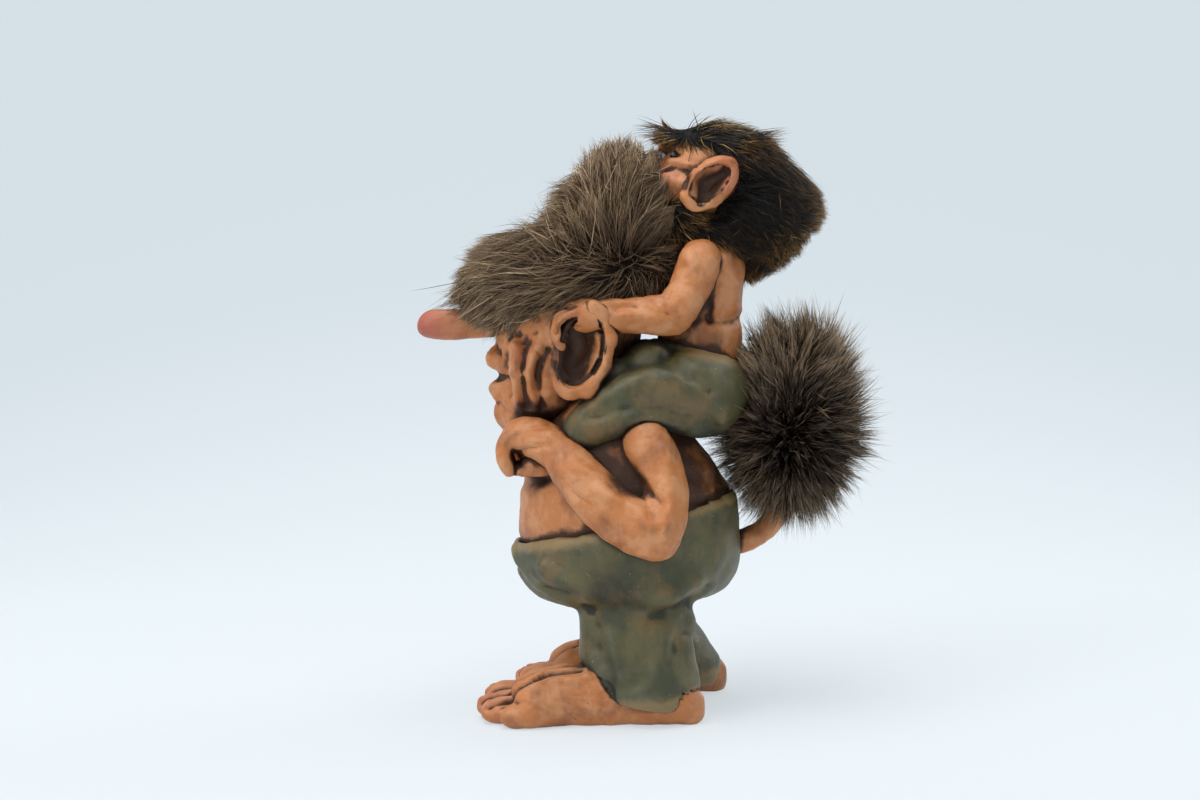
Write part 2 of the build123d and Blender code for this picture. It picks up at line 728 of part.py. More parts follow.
with BuildPart() as rider_left_arm:
    limb(rider_shoulder, rider_upper_reach, rider_arm_radius, rider_upper_arm_shares)
    limb(rider_elbow, rider_forearm, rider_arm_radius, rider_forearm_shares)
    wrist_station = (rider_wrist, rider_hand_radius, rider_hand_radius * rider_wrist_share)
    flesh([wrist_station, (rider_palm, rider_hand_radius, rider_hand_radius)])
    fingers(rider_palm, rider_finger_pitch, rider_finger_reach, rider_finger_drop, rider_finger_radius)
    carve(rider_left_arm, rider_torso, rider_trousers, head, face[2])
finish(rider_left_arm, "rider_left_arm")

with BuildPart() as rider_right_arm:
    mirror(rider_left_arm.part, about=Plane.YZ)
finish(rider_right_arm, "rider_right_arm")

# Fur: each mass is a closed shape of its true outline, cut to what it is glued round
crest_shares = [
    # ahead, up, half width, half height
    (0.99, 0.15, 0.15, 0.04),
    (0.90, 0.19, 0.50, 0.17),
    (0.76, 0.22, 0.80, 0.24),
    (0.55, 0.37, 1.00, 0.33),
    (0.28, 0.55, 0.94, 0.44),
    (0.12, 0.56, 0.80, 0.44),
    (0.02, 0.55, 0.60, 0.34),
]
cap_shares = [
    # up, back, width, depth, slope
    (0.62, 0.005, 0.98, 0.98, 0),
    (0.72, 0.020, 1.00, 1.00, 0),
    (0.82, 0.050, 0.92, 0.95, 0),
    (0.94, 0.080, 0.70, 0.72, 0),
    (1.04, 0.083, 0.30, 0.30, 0),
]
mane_shares = [
    # back, up, half width, half height
    (0.00, 0.53, 0.26, 0.03),
    (0.11, 0.50, 0.61, 0.10),
    (0.25, 0.48, 0.74, 0.14),
    (0.39, 0.29, 0.91, 0.31),
    (0.53, 0.12, 1.00, 0.47),
    (0.67, 0.02, 0.87, 0.47),
    (0.81, 0.00, 0.61, 0.30),
    (0.94, 0.00, 0.26, 0.12),
]
tuft_shares = [
    # up, back, half width, half depth
    (0.06, -0.06, 0.45, 0.42),
    (0.20, -0.02, 0.80, 0.78),
    (0.40, 0.02, 1.00, 1.00),
    (0.60, 0.02, 0.97, 0.98),
    (0.80, 0.00, 0.76, 0.80),
    (0.93, -0.02, 0.42, 0.45),
]
crest_root_share = (0, 0.6, 0.575)  # of the head's width, depth and height
mane_root_share = (0, -0.50, 0.40)  # of the rider's head
mane_drop_share = 0.30              # of the mane's height
tuft_root_share = 0.38              # how much of the tuft's height lies below the tip of the tail
fur_bulge_share = 0.3
tuft_bulge_share = 0.6
crest_anchor = reach_out(head_plane.origin, head_size, crest_root_share)
mane_root = in_head(rider_head_plane, rider_size, mane_root_share)
mane_anchor = mane_root + Vector(0, 0, -mane_height * mane_drop_share)

with BuildPart() as hair_crest:
    stations = []
    for ahead, up, half_width, half_height in crest_shares:
        centre = crest_anchor + Vector(0, -crest_length * ahead, crest_height * up)
        stations.append((centre, crest_width / 2 * half_width, crest_height * half_height))
    flesh(stations, ahead=(0, 1, 0), start_bulge=fur_bulge_share, end_bulge=fur_bulge_share)
    cap_width = head_width + 2 * cap_thickness
    cap_depth = head_depth + 2 * cap_thickness
    stack(head_plane, head_height, cap_width, cap_depth, 0, cap_shares)
    carve(hair_crest, *face, rider_left_arm, rider_right_arm, rider_torso, *rider_face[:4])
finish(hair_crest, "hair_crest")

with BuildPart() as rider_hair:
    stations = []
    for back, up, half_width, half_height in mane_shares:
        centre = mane_anchor + Vector(0, mane_length * back, mane_height * up)
        stations.append((centre, mane_width / 2 * half_width, mane_height * half_height))
    flesh(stations, ahead=(0, 1, 0), start_bulge=fur_bulge_share, end_bulge=fur_bulge_share)
    carve(rider_hair, *rider_face, rider_torso, rider_left_arm, rider_right_arm, hair_crest)
finish(rider_hair, "rider_hair")

with BuildPart() as tail_tuft:
    stations = []
    for up, back, half_width, half_depth in tuft_shares:
        centre = tail_tip + Vector(0, tuft_length * back, tuft_height * (up - tuft_root_share))
        stations.append((centre, tuft_width / 2 * half_width, tuft_length / 2 * half_depth))
    flesh(stations, ahead=(0, 0, 1), start_bulge=tuft_bulge_share, end_bulge=tuft_bulge_share)
    carve(tail_tuft, tail_stem, trousers, torso, rider_trousers, rider_torso, rider_hair)
    bore(wire_bore)
finish(tail_tuft, "tail_tuft")
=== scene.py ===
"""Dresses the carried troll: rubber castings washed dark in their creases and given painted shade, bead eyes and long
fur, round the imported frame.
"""

import json
import logging
import math
from dataclasses import dataclass, field
from enum import Enum

import bpy
import numpy as np
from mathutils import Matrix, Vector, noise
from mathutils.bvhtree import BVHTree
from mathutils.kdtree import KDTree

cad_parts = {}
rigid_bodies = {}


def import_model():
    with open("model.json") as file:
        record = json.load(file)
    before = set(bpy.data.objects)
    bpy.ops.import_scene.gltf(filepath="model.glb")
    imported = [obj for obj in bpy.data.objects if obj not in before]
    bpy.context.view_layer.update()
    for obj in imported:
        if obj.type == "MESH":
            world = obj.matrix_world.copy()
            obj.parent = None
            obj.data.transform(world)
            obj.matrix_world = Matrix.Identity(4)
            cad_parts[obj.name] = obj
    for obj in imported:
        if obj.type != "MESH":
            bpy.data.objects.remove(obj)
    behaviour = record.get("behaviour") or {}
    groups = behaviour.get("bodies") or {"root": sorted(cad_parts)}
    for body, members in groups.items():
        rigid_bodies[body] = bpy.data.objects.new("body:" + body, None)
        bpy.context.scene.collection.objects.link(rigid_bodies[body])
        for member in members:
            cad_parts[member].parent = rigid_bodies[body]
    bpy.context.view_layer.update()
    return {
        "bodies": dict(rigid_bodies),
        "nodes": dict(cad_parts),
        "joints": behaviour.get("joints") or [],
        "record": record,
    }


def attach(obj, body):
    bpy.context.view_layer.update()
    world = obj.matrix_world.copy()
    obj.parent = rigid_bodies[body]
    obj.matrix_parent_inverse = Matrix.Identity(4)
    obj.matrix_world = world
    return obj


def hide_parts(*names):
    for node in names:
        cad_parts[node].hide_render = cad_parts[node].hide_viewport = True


MM = 0.001
BODY = "root"
NOISE_SEED = 5
LOG = logging.getLogger("troll")


class View(Enum):
    """The side that a sculpting stroke is drawn from: its two axes and its normal."""

    SIDE = (1, 2, 0)
    FRONT = (0, 2, 1)
    TOP = (0, 1, 2)


def linear(red: int, green: int, blue: int) -> tuple[float, float, float, float]:
    """Turns a given colour, 0 to 255, into scene-linear red, green, blue and alpha."""
    channels = [value / 255 for value in (red, green, blue)]
    flat = [c / 12.92 if c <= 0.04045 else ((c + 0.055) / 1.055) ** 2.4 for c in channels]
    return (*flat, 1.0)


class Signal:
    """A shader value that Python operators join into Math nodes."""

    def __init__(self, recipe: "Recipe", socket: bpy.types.NodeSocket) -> None:
        """Wraps one output socket of a recipe's tree."""
        self.recipe = recipe
        self.socket = socket

    def join(self, operation: str, first: "Signal | float", second: "Signal | float") -> "Signal":
        """Adds one Math node.

        Args:
            operation: the Math node's operation.
            first: its first value or link.
            second: its second value or link.

        Returns:
            The node's result.
        """
        made = self.recipe.node("ShaderNodeMath", {"operation": operation}, {0: first, 1: second})
        return Signal(self.recipe, made.outputs[0])

    def __add__(self, other: "Signal | float") -> "Signal":
        """Sum."""
        return self.join("ADD", self, other)

    def __sub__(self, other: "Signal | float") -> "Signal":
        """Difference."""
        return self.join("SUBTRACT", self, other)

    def __mul__(self, other: "Signal | float") -> "Signal":
        """Product."""
        return self.join("MULTIPLY", self, other)

    def __truediv__(self, other: "Signal | float") -> "Signal":
        """Quotient."""
        return self.join("DIVIDE", self, other)

    def __pow__(self, other: "Signal | float") -> "Signal":
        """Power."""
        return self.join("POWER", self, other)

    def __rsub__(self, other: float) -> "Signal":
        """Difference, taken from a number."""
        return self.join("SUBTRACT", other, self)

    __radd__ = __add__
    __rmul__ = __mul__

    def between(self, low: float, high: float) -> "Signal":
        """The share of the way from low to high, held between 0 and 1."""
        made = self.recipe.node("ShaderNodeMapRange", {"interpolation_type": "SMOOTHSTEP"},
                                {"Value": self, "From Min": low, "From Max": high})
        return Signal(self.recipe, made.outputs[0])


class Recipe:
    """One node material in the making."""

    def __init__(self, name: str) -> None:
        """Starts a material with one Principled shader.

        Args:
            name: the material's name.
        """
        self.material = bpy.data.materials.new(name)
        self.material.use_nodes = True
        self.tree = self.material.node_tree
        self.shader = self.tree.nodes["Principled BSDF"]

    def node(self, kind: str, settings: dict, inputs: dict) -> bpy.types.Node:
        """Adds any node.

        Args:
            kind: the node's type.
            settings: its own settings, set before its sockets.
            inputs: values, signals or sockets for its input sockets, by name or place.

        Returns:
            The node.
        """
        made = self.tree.nodes.new(kind)
        for key, value in settings.items():
            setattr(made, key, value)
        for key, value in inputs.items():
            self.feed(made.inputs[key], value)
        return made

    def feed(self, socket: bpy.types.NodeSocket, value: object) -> None:
        """Gives a socket a value or a link."""
        if isinstance(value, Signal):
            value = value.socket
        if isinstance(value, bpy.types.NodeSocket):
            self.tree.links.new(value, socket)
        else:
            socket.default_value = value

    def place(self) -> bpy.types.NodeSocket:
        """The point of the surface in the object's own space."""
        return self.node("ShaderNodeTexCoord", {}, {}).outputs["Object"]

    def painted(self, name: str) -> Signal:
        """A value that was painted on the points of the mesh."""
        return Signal(self, self.node("ShaderNodeAttribute", {"attribute_name": name}, {}).outputs["Fac"])

    def grain(self, size: float, detail: float = 3.0, stretch: tuple[float, float, float] = (1, 1, 1)) -> Signal:
        """Noise over the surface.

        Args:
            size: the size of its blotches in metres.
            detail: how many finer layers it has.
            stretch: how much denser it is along each axis.

        Returns:
            A value from 0 to 1.
        """
        spread = self.node("ShaderNodeMapping", {}, {"Vector": self.place(), "Scale": stretch})
        made = self.node("ShaderNodeTexNoise", {}, {"Vector": spread.outputs[0], "Scale": 1 / size,
                                                   "Detail": detail, "Roughness": 0.6})
        return Signal(self, made.outputs["Fac"])

    def blend(self, factor: Signal, first: object, second: object) -> bpy.types.NodeSocket:
        """Mixes two colours.

        Args:
            factor: 0 for the first and 1 for the second.
            first: a colour or a colour socket.
            second: a colour or a colour socket.

        Returns:
            The mixed colour's socket.
        """
        made = self.node("ShaderNodeMix", {"data_type": "RGBA"}, {0: factor, 6: first, 7: second})
        return made.outputs[2]

    def relief(self, height: Signal, depth: float) -> None:
        """Raises the surface by a height from 0 to 1, of the given depth in metres."""
        made = self.node("ShaderNodeBump", {}, {"Height": height, "Strength": 1.0, "Distance": depth})
        self.feed(self.shader.inputs["Normal"], made.outputs[0])

    def coat(self, **inputs: object) -> None:
        """Sets the Principled shader's sockets, with underscores for the spaces in their names."""
        for key, value in inputs.items():
            self.feed(self.shader.inputs[key.replace("_", " ")], value)


@dataclass(frozen=True)
class SkinFinish:
    """Orange-tan rubber skin, washed dark in its creases and given painted shade there and between parts, with a blush
    on its bumps.
    """

    name: str = "washed_shaded_skin"
    tan: tuple = linear(194, 122, 70)
    pale: tuple = linear(206, 142, 96)
    brown: tuple = linear(128, 72, 44)
    wash_and_shade: tuple = linear(44, 25, 18)
    blush: tuple = linear(172, 90, 74)
    roughness: float = 0.46

    def make(self) -> bpy.types.Material:
        """Builds the material."""
        r = Recipe(self.name)
        blotch = r.grain(9 * MM, 4)
        colour = r.blend(blotch.between(0.42, 0.62), self.tan, self.pale)
        patch = r.grain(17 * MM, 3, (1, 1.2, 0.8)).between(0.48, 0.68)
        colour = r.blend(patch * 0.55, colour, self.brown)
        colour = r.blend(r.painted("flush"), colour, self.blush)
        speck = r.grain(1.4 * MM, 2).between(0.66, 0.76)
        colour = r.blend(speck * 0.5, colour, self.brown)
        # Painted shade, over creases washed dark: the stored darkening, broken up by noise, turns the skin dark brown.
        wash_shade_film = (r.painted("wash_and_shade") + (r.grain(4.0 * MM, 4) - 0.5) * 0.6).between(0.14, 0.80)
        colour = r.blend(wash_shade_film * 0.93, colour, self.wash_and_shade)
        chip = r.grain(1.1 * MM, 1, (1, 0.8, 1)).between(0.75, 0.78)
        colour = r.blend(chip * 0.8, colour, linear(222, 134, 62))
        scratch = r.grain(0.9 * MM, 2, (1.0, 0.28, 1.0))
        pore = r.grain(0.55 * MM, 2)
        r.relief(scratch * 0.6 + pore * 0.4, 0.35 * MM)
        r.coat(Base_Color=colour, Roughness=self.roughness + wash_shade_film * 0.16 + (blotch - 0.5) * 0.2)
        r.coat(Specular_IOR_Level=0.42)
        return r.material


@dataclass(frozen=True)
class TrouserFinish:
    """Green trousers painted on rubber: mottled with ochre and teal, washed dark and given painted shade in folds, worn
    on edges.
    """

    name: str = "mottled_green"
    olive: tuple = linear(94, 87, 52)
    moss: tuple = linear(62, 63, 40)
    ochre: tuple = linear(124, 94, 52)
    teal: tuple = linear(74, 86, 68)
    wash_and_shade: tuple = linear(28, 26, 18)
    worn: tuple = linear(146, 120, 78)
    roughness: float = 0.44

    def make(self) -> bpy.types.Material:
        """Builds the material."""
        r = Recipe(self.name)
        blotch = r.grain(24 * MM, 4)
        colour = r.blend(blotch.between(0.36, 0.64), self.olive, self.moss)
        colour = r.blend(r.grain(15 * MM, 4).between(0.46, 0.70) * 0.8, colour, self.ochre)
        colour = r.blend(r.grain(30 * MM, 3).between(0.48, 0.70) * 0.6, colour, self.teal)
        streak = r.grain(6 * MM, 5, (1, 1, 0.5)).between(0.50, 0.75)
        colour = r.blend(streak * 0.45, colour, self.wash_and_shade)
        wear = (r.painted("wear") + r.painted("flush") + (r.grain(3 * MM, 3) - 0.5) * 0.6).between(0.30, 0.95)
        colour = r.blend(wear * 0.8, colour, self.worn)
        # Painted shade, over folds washed dark: the stored darkening, broken up by noise, turns the cloth nearly black.
        wash_shade_film = (r.painted("wash_and_shade") + (r.grain(3.5 * MM, 3) - 0.5) * 0.3).between(0.12, 0.85)
        colour = r.blend(wash_shade_film * 0.92, colour, self.wash_and_shade)
        fleck = r.grain(1.2 * MM, 1).between(0.76, 0.79)
        colour = r.blend(fleck * 0.7, colour, linear(190, 158, 92))
        r.relief(r.grain(1.3 * MM, 3) * 0.6 + r.grain(0.5 * MM, 2) * 0.4, 0.35 * MM)
        r.coat(Base_Color=colour, Roughness=self.roughness + wash_shade_film * 0.2 + (blotch - 0.5) * 0.25)
        r.coat(Specular_IOR_Level=0.5)
        return r.material


@dataclass(frozen=True)
class FurFinish:
    """Long hair, coloured along each strand and different from strand to strand."""

    name: str
    root: tuple
    middle: tuple
    tip: tuple
    stray: tuple
    tip_start: float = 0.45
    roughness: float = 0.5

    def make(self) -> bpy.types.Material:
        """Builds the material, which reads each strand's own value and the way along it."""
        r = Recipe(self.name)
        map_node = r.node("ShaderNodeUVMap", {"uv_map": "OFBake"}, {})
        split = r.node("ShaderNodeSeparateXYZ", {}, {0: map_node.outputs[0]})
        own, along = Signal(r, split.outputs[0]), Signal(r, split.outputs[1])
        colour = r.blend(along.between(0.0, 0.5), self.root, self.middle)
        colour = r.blend((along + (own - 0.5) * 0.6).between(self.tip_start, 1.05), colour, self.tip)
        colour = r.blend(own.between(0.84, 0.97) * along.between(0.10, 0.5), colour, self.stray)
        colour = r.blend(0.7 * (1 - own.between(0.0, 0.4)), colour, self.root)
        r.coat(Base_Color=colour, Roughness=self.roughness + (1 - along) ** 6 * 0.5, Specular_IOR_Level=0.35)
        return r.material


@dataclass(frozen=True)
class PlainFinish:
    """One even material with fine grain: glass, wood or steel."""

    name: str
    colour: tuple
    second: tuple
    roughness: float
    metallic: float = 0.0
    clear: float = 0.0
    stretch: tuple = (1, 1, 1)

    def make(self) -> bpy.types.Material:
        """Builds the material."""
        r = Recipe(self.name)
        lines = r.grain(1.2 * MM, 3, self.stretch)
        colour = r.blend(lines.between(0.35, 0.7), self.colour, self.second)
        r.coat(Base_Color=colour, Roughness=self.roughness, Metallic=self.metallic)
        r.coat(Coat_Weight=self.clear, Coat_Roughness=0.04)
        return r.material


@dataclass(frozen=True)
class Stroke:
    """One stroke of a modelling tool: a path in millimetres that pushes in or pulls out.

    The path's two numbers run along the two axes of the view, and side is the sign of the
    surface's normal along the third. A stroke with both_sides is also made mirrored across X.
    """

    view: View
    path: tuple
    radius: float
    depth: float
    side: float = 1.0
    both_sides: bool = True


def deselect() -> None:
    """Leaves nothing selected."""
    if bpy.context.object and bpy.context.object.mode != "OBJECT":
        bpy.ops.object.mode_set(mode="OBJECT")
    bpy.ops.object.select_all(action="DESELECT")


def pick(obj: bpy.types.Object) -> None:
    """Makes an object the only selected and the active one."""
    deselect()
    obj.select_set(True)
    bpy.context.view_layer.objects.active = obj


def refine(obj: bpy.types.Object, kind: str, **settings: object) -> None:
    """Adds a modifier with its settings and applies it."""
    pick(obj)
    bpy.ops.object.modifier_add(type=kind)
    modifier = obj.modifiers[-1]
    for key, value in settings.items():
        setattr(modifier, key, value)
    bpy.ops.object.modifier_apply(modifier=modifier.name)


def points_of(mesh: bpy.types.Mesh) -> np.ndarray:
    """The mesh's points, one row each."""
    flat = np.empty(len(mesh.vertices) * 3)
    mesh.vertices.foreach_get("co", flat)
    return flat.reshape(-1, 3)


def normals_of(mesh: bpy.types.Mesh) -> np.ndarray:
    """The outward directions at the mesh's points, one row each."""
    flat = np.empty(len(mesh.vertices) * 3)
    mesh.vertex_normals.foreach_get("vector", flat)
    return flat.reshape(-1, 3)


def move_points(mesh: bpy.types.Mesh, points: np.ndarray) -> None:
    """Puts the mesh's points where the rows say."""
    mesh.vertices.foreach_set("co", points.reshape(-1))
    mesh.update()


def paint(mesh: bpy.types.Mesh, name: str, values: np.ndarray) -> None:
    """Stores one value for each point of the mesh."""
    layer = mesh.attributes.get(name) or mesh.attributes.new(name, "FLOAT", "POINT")
    layer.data.foreach_set("value", np.clip(values, 0, 1).astype(np.float32))


def averaged(mesh: bpy.types.Mesh, rows: np.ndarray, rounds: int) -> np.ndarray:
    """Spreads rows over the neighbours of each point, as many times as asked."""
    edges = np.empty(len(mesh.edges) * 2, int)
    mesh.edges.foreach_get("vertices", edges)
    start, end = edges.reshape(-1, 2).T
    count = np.bincount(edges, minlength=len(rows)).astype(float)[:, None] + 1
    for _ in range(rounds):
        total = rows.copy()
        for axis in range(rows.shape[1]):
            total[:, axis] += np.bincount(start, rows[end, axis], len(rows))
            total[:, axis] += np.bincount(end, rows[start, axis], len(rows))
        rows = total / count
    return rows


def path_distance(points: np.ndarray, path: np.ndarray) -> np.ndarray:
    """How far each flat point lies from a path of straight runs."""
    nearest = np.full(len(points), 1e9)
    if len(path) == 1:
        return np.hypot(*(points - path[0]).T)
    for start, end in zip(path[:-1], path[1:]):
        run = end - start
        share = np.clip((points - start) @ run / max(run @ run, 1e-18), 0, 1)
        nearest = np.minimum(nearest, np.hypot(*(points - start - share[:, None] * run).T))
    return nearest


def carve_strokes(mesh: bpy.types.Mesh, strokes: tuple) -> None:
    """Makes every stroke on a mesh."""
    points, normals = points_of(mesh), normals_of(mesh)
    sway = np.array([noise.noise_vector(Vector(row)) for row in points / (9 * MM)]) * (1.6 * MM)
    press = np.array([0.9 + 0.6 * noise.noise(Vector(row)) for row in points / (7 * MM)])
    for stroke in strokes:
        first, second, depth_axis = stroke.view.value
        for mirror in (1, -1) if stroke.both_sides else (1,):
            path = np.array(stroke.path, float) * MM
            facing = normals[:, depth_axis] * stroke.side
            if stroke.view is View.SIDE:
                facing = facing * mirror
            else:
                path = path * (mirror, 1)
            reach = path_distance((points + sway)[:, (first, second)], path) / (stroke.radius * MM)
            weight = np.clip(1 - reach, 0, 1)
            weight = weight * weight * (3 - 2 * weight) * np.clip(facing * 3, 0, 1) * press
            points += normals * (weight * stroke.depth * MM)[:, None]
    move_points(mesh, points)


def knead(mesh: bpy.types.Mesh, size: float, depth: float, stretch: tuple = (1, 1, 1), folds: bool = False) -> None:
    """Works an uneven, hand-made surface into a mesh.

    Args:
        size: the size of the lumps in millimetres.
        depth: how high they are in millimetres.
        stretch: how much denser they are along each axis.
        folds: sharp valleys between round lumps.
    """
    points, normals = points_of(mesh), normals_of(mesh)
    scaled = points / (size * MM) * stretch
    height = np.array([noise.noise(Vector(row)) for row in scaled])
    if folds:
        height = np.abs(height) * 2 - 0.5
    move_points(mesh, points + normals * (height * depth * MM)[:, None])


def push(piece: bpy.types.Object, rows: tuple) -> None:
    """Pushes rounded areas of a mesh to another place.

    Args:
        piece: the piece to work on.
        rows: the centre and the radius of each area, and how far its middle goes, in millimetres.
    """
    for centre, radius, way in rows:
        points = points_of(piece.data)
        share = np.clip(1 - np.linalg.norm(points / MM - centre, axis=1) / radius, 0, 1)[:, None]
        move_points(piece.data, points + share * np.array(way) * MM)


def pad(piece: bpy.types.Object, balls: tuple) -> None:
    """Joins balls of (x, y, z, radius) in millimetres to a piece, each on both sides unless x is 0."""
    for x, y, z, radius in balls:
        for side in (1, -1) if x else (1,):
            deselect()
            bpy.ops.mesh.primitive_ico_sphere_add(subdivisions=3, radius=radius * MM,
                                                  location=(x * side * MM, y * MM, z * MM))
            piece.select_set(True)
            bpy.context.view_layer.objects.active = piece
            bpy.ops.object.join()


@dataclass
class Casting:
    """One rubber casting: a clean copy of a node's solid, modelled over and painted."""

    node: str
    material: bpy.types.Material
    slot: str
    voxel: float = 0.85
    soften: int = 3
    lumps: tuple = ((7.0, 0.45, (1, 1, 1), False), (2.6, 0.22, (1, 1, 1), False))
    strokes: tuple = ()
    blushes: tuple = ()
    # round dark spots of painted shade, added to the hollows
    shade_spots: tuple = ()
    padding: tuple = ()
    tuck: tuple = ()
    rim: object = None
    piece: bpy.types.Object = field(init=False, default=None)

    def build(self, frame: dict) -> bpy.types.Object:
        """Copies the node, closes and evens out its mesh, and models the surface.

        Args:
            frame: the loaded frame.

        Returns:
            The finished piece.
        """
        pick(frame["nodes"][self.node])
        bpy.ops.object.duplicate()
        piece = bpy.context.object
        for key in list(piece.keys()):
            del piece[key]
        piece.name = f"{self.node}_casting"
        piece.parent = None
        bpy.ops.object.mode_set(mode="EDIT")
        bpy.ops.mesh.select_all(action="SELECT")
        bpy.ops.mesh.remove_doubles(threshold=0.01 * MM)
        bpy.ops.object.mode_set(mode="OBJECT")
        pad(piece, self.padding)
        refine(piece, "REMESH", mode="VOXEL", voxel_size=self.voxel * MM, use_smooth_shade=True)
        refine(piece, "SMOOTH", factor=0.5, iterations=self.soften)
        push(piece, self.tuck)
        for size, depth, stretch, folds in self.lumps:
            knead(piece.data, size, depth, stretch, folds)
        carve_strokes(piece.data, self.strokes)
        refine(piece, "SMOOTH", factor=0.5, iterations=2)
        points = points_of(piece.data)
        points[:, 2] = np.maximum(points[:, 2], 0)
        move_points(piece.data, points)
        piece.data.materials.clear()
        piece.data.materials.append(self.material)
        self.piece = piece
        self.paint_creases()
        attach(piece, BODY)
        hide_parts(self.node)
        LOG.info("%s: %d faces", piece.name, len(piece.data.polygons))
        return piece

    def paint_creases(self) -> None:
        """Stores where the surface is hollow, with its round spots of painted shade, where it stands out and where it
        blushes.
        """
        mesh = self.piece.data
        points, normals = points_of(mesh), normals_of(mesh)
        near = averaged(mesh, points, 4)
        wide = averaged(mesh, near, 14)
        fine = np.einsum("ij,ij->i", near - points, normals) / (0.22 * MM)
        broad = np.einsum("ij,ij->i", wide - points, normals) / (0.9 * MM)
        # The creases are washed dark and also darkened as painted shade; the listed round spots add painted shade.
        self.hollow = np.clip(fine - 0.15, 0, 1) * 0.3 + np.clip(broad - 0.08, 0, 1) * 0.42
        self.hollow = np.maximum(self.hollow, self.spots(points, self.shade_spots))
        paint(mesh, "wear", np.clip(-broad - 0.55, 0, 1) * 0.6)
        flush = self.spots(points, self.blushes)
        if self.rim:
            flush = np.maximum(flush, self.rim(points / MM))
        paint(mesh, "flush", flush)

    @staticmethod
    def spots(points: np.ndarray, rows: tuple) -> np.ndarray:
        """How strongly round spots of (x, y, z, radius, amount) colour each point."""
        values = np.zeros(len(points))
        for x, y, z, radius, amount in rows:
            reach = np.linalg.norm(points - np.array((x, y, z)) * MM, axis=1) / (radius * MM)
            values = np.maximum(values, np.clip(1.4 - reach * 1.4, 0, 1) * amount)
        return values


class Shadows:
    """Painted shade where castings come close to each other, found by casting rays out of each surface."""

    rays: int = 10
    reach: float = 13.0

    def __init__(self, castings: list[Casting]) -> None:
        """Gathers every casting's surface into one search tree."""
        points, faces, start = [], [], 0
        for casting in castings:
            mesh = casting.piece.data
            rows = points_of(mesh)
            points.extend(rows.tolist())
            faces.extend([tuple(v + start for v in face.vertices) for face in mesh.polygons])
            start += len(rows)
        self.tree = BVHTree.FromPolygons(points, faces)
        self.castings = castings

    def paint_shade(self) -> None:
        """Paints each casting's darkening: its creases and spots, and painted shade from its neighbours."""
        rng = np.random.default_rng(4)
        spread = rng.normal(size=(self.rays, 3))
        spread /= np.linalg.norm(spread, axis=1)[:, None]
        for casting in self.castings:
            mesh = casting.piece.data
            points, normals = points_of(mesh), normals_of(mesh)
            shade = np.zeros(len(points))
            starts = points + normals * (0.35 * MM)
            for ray in spread:
                ways = normals * 1.05 + ray
                ways /= np.linalg.norm(ways, axis=1)[:, None]
                for i, (start, way) in enumerate(zip(starts.tolist(), ways.tolist())):
                    hit = self.tree.ray_cast(start, way, self.reach * MM)
                    if hit[0] is not None:
                        shade[i] += 1 - hit[3] / (self.reach * MM)
            shade = averaged(mesh, (shade / self.rays)[:, None], 2)[:, 0]
            # painted shade: the creases, the spots and the near neighbours darken the colour together
            paint(mesh, "wash_and_shade", casting.hollow + np.clip(shade * 2.3 - 0.16, 0, 1))


def unit(rows: np.ndarray) -> np.ndarray:
    """Each row at a length of one."""
    return rows / np.maximum(np.linalg.norm(rows, axis=1), 1e-9)[:, None]


def share_between(values: np.ndarray, low: float, high: float) -> np.ndarray:
    """The share of the way from low to high, held between 0 and 1."""
    return np.clip((values - low) / (high - low), 0, 1)


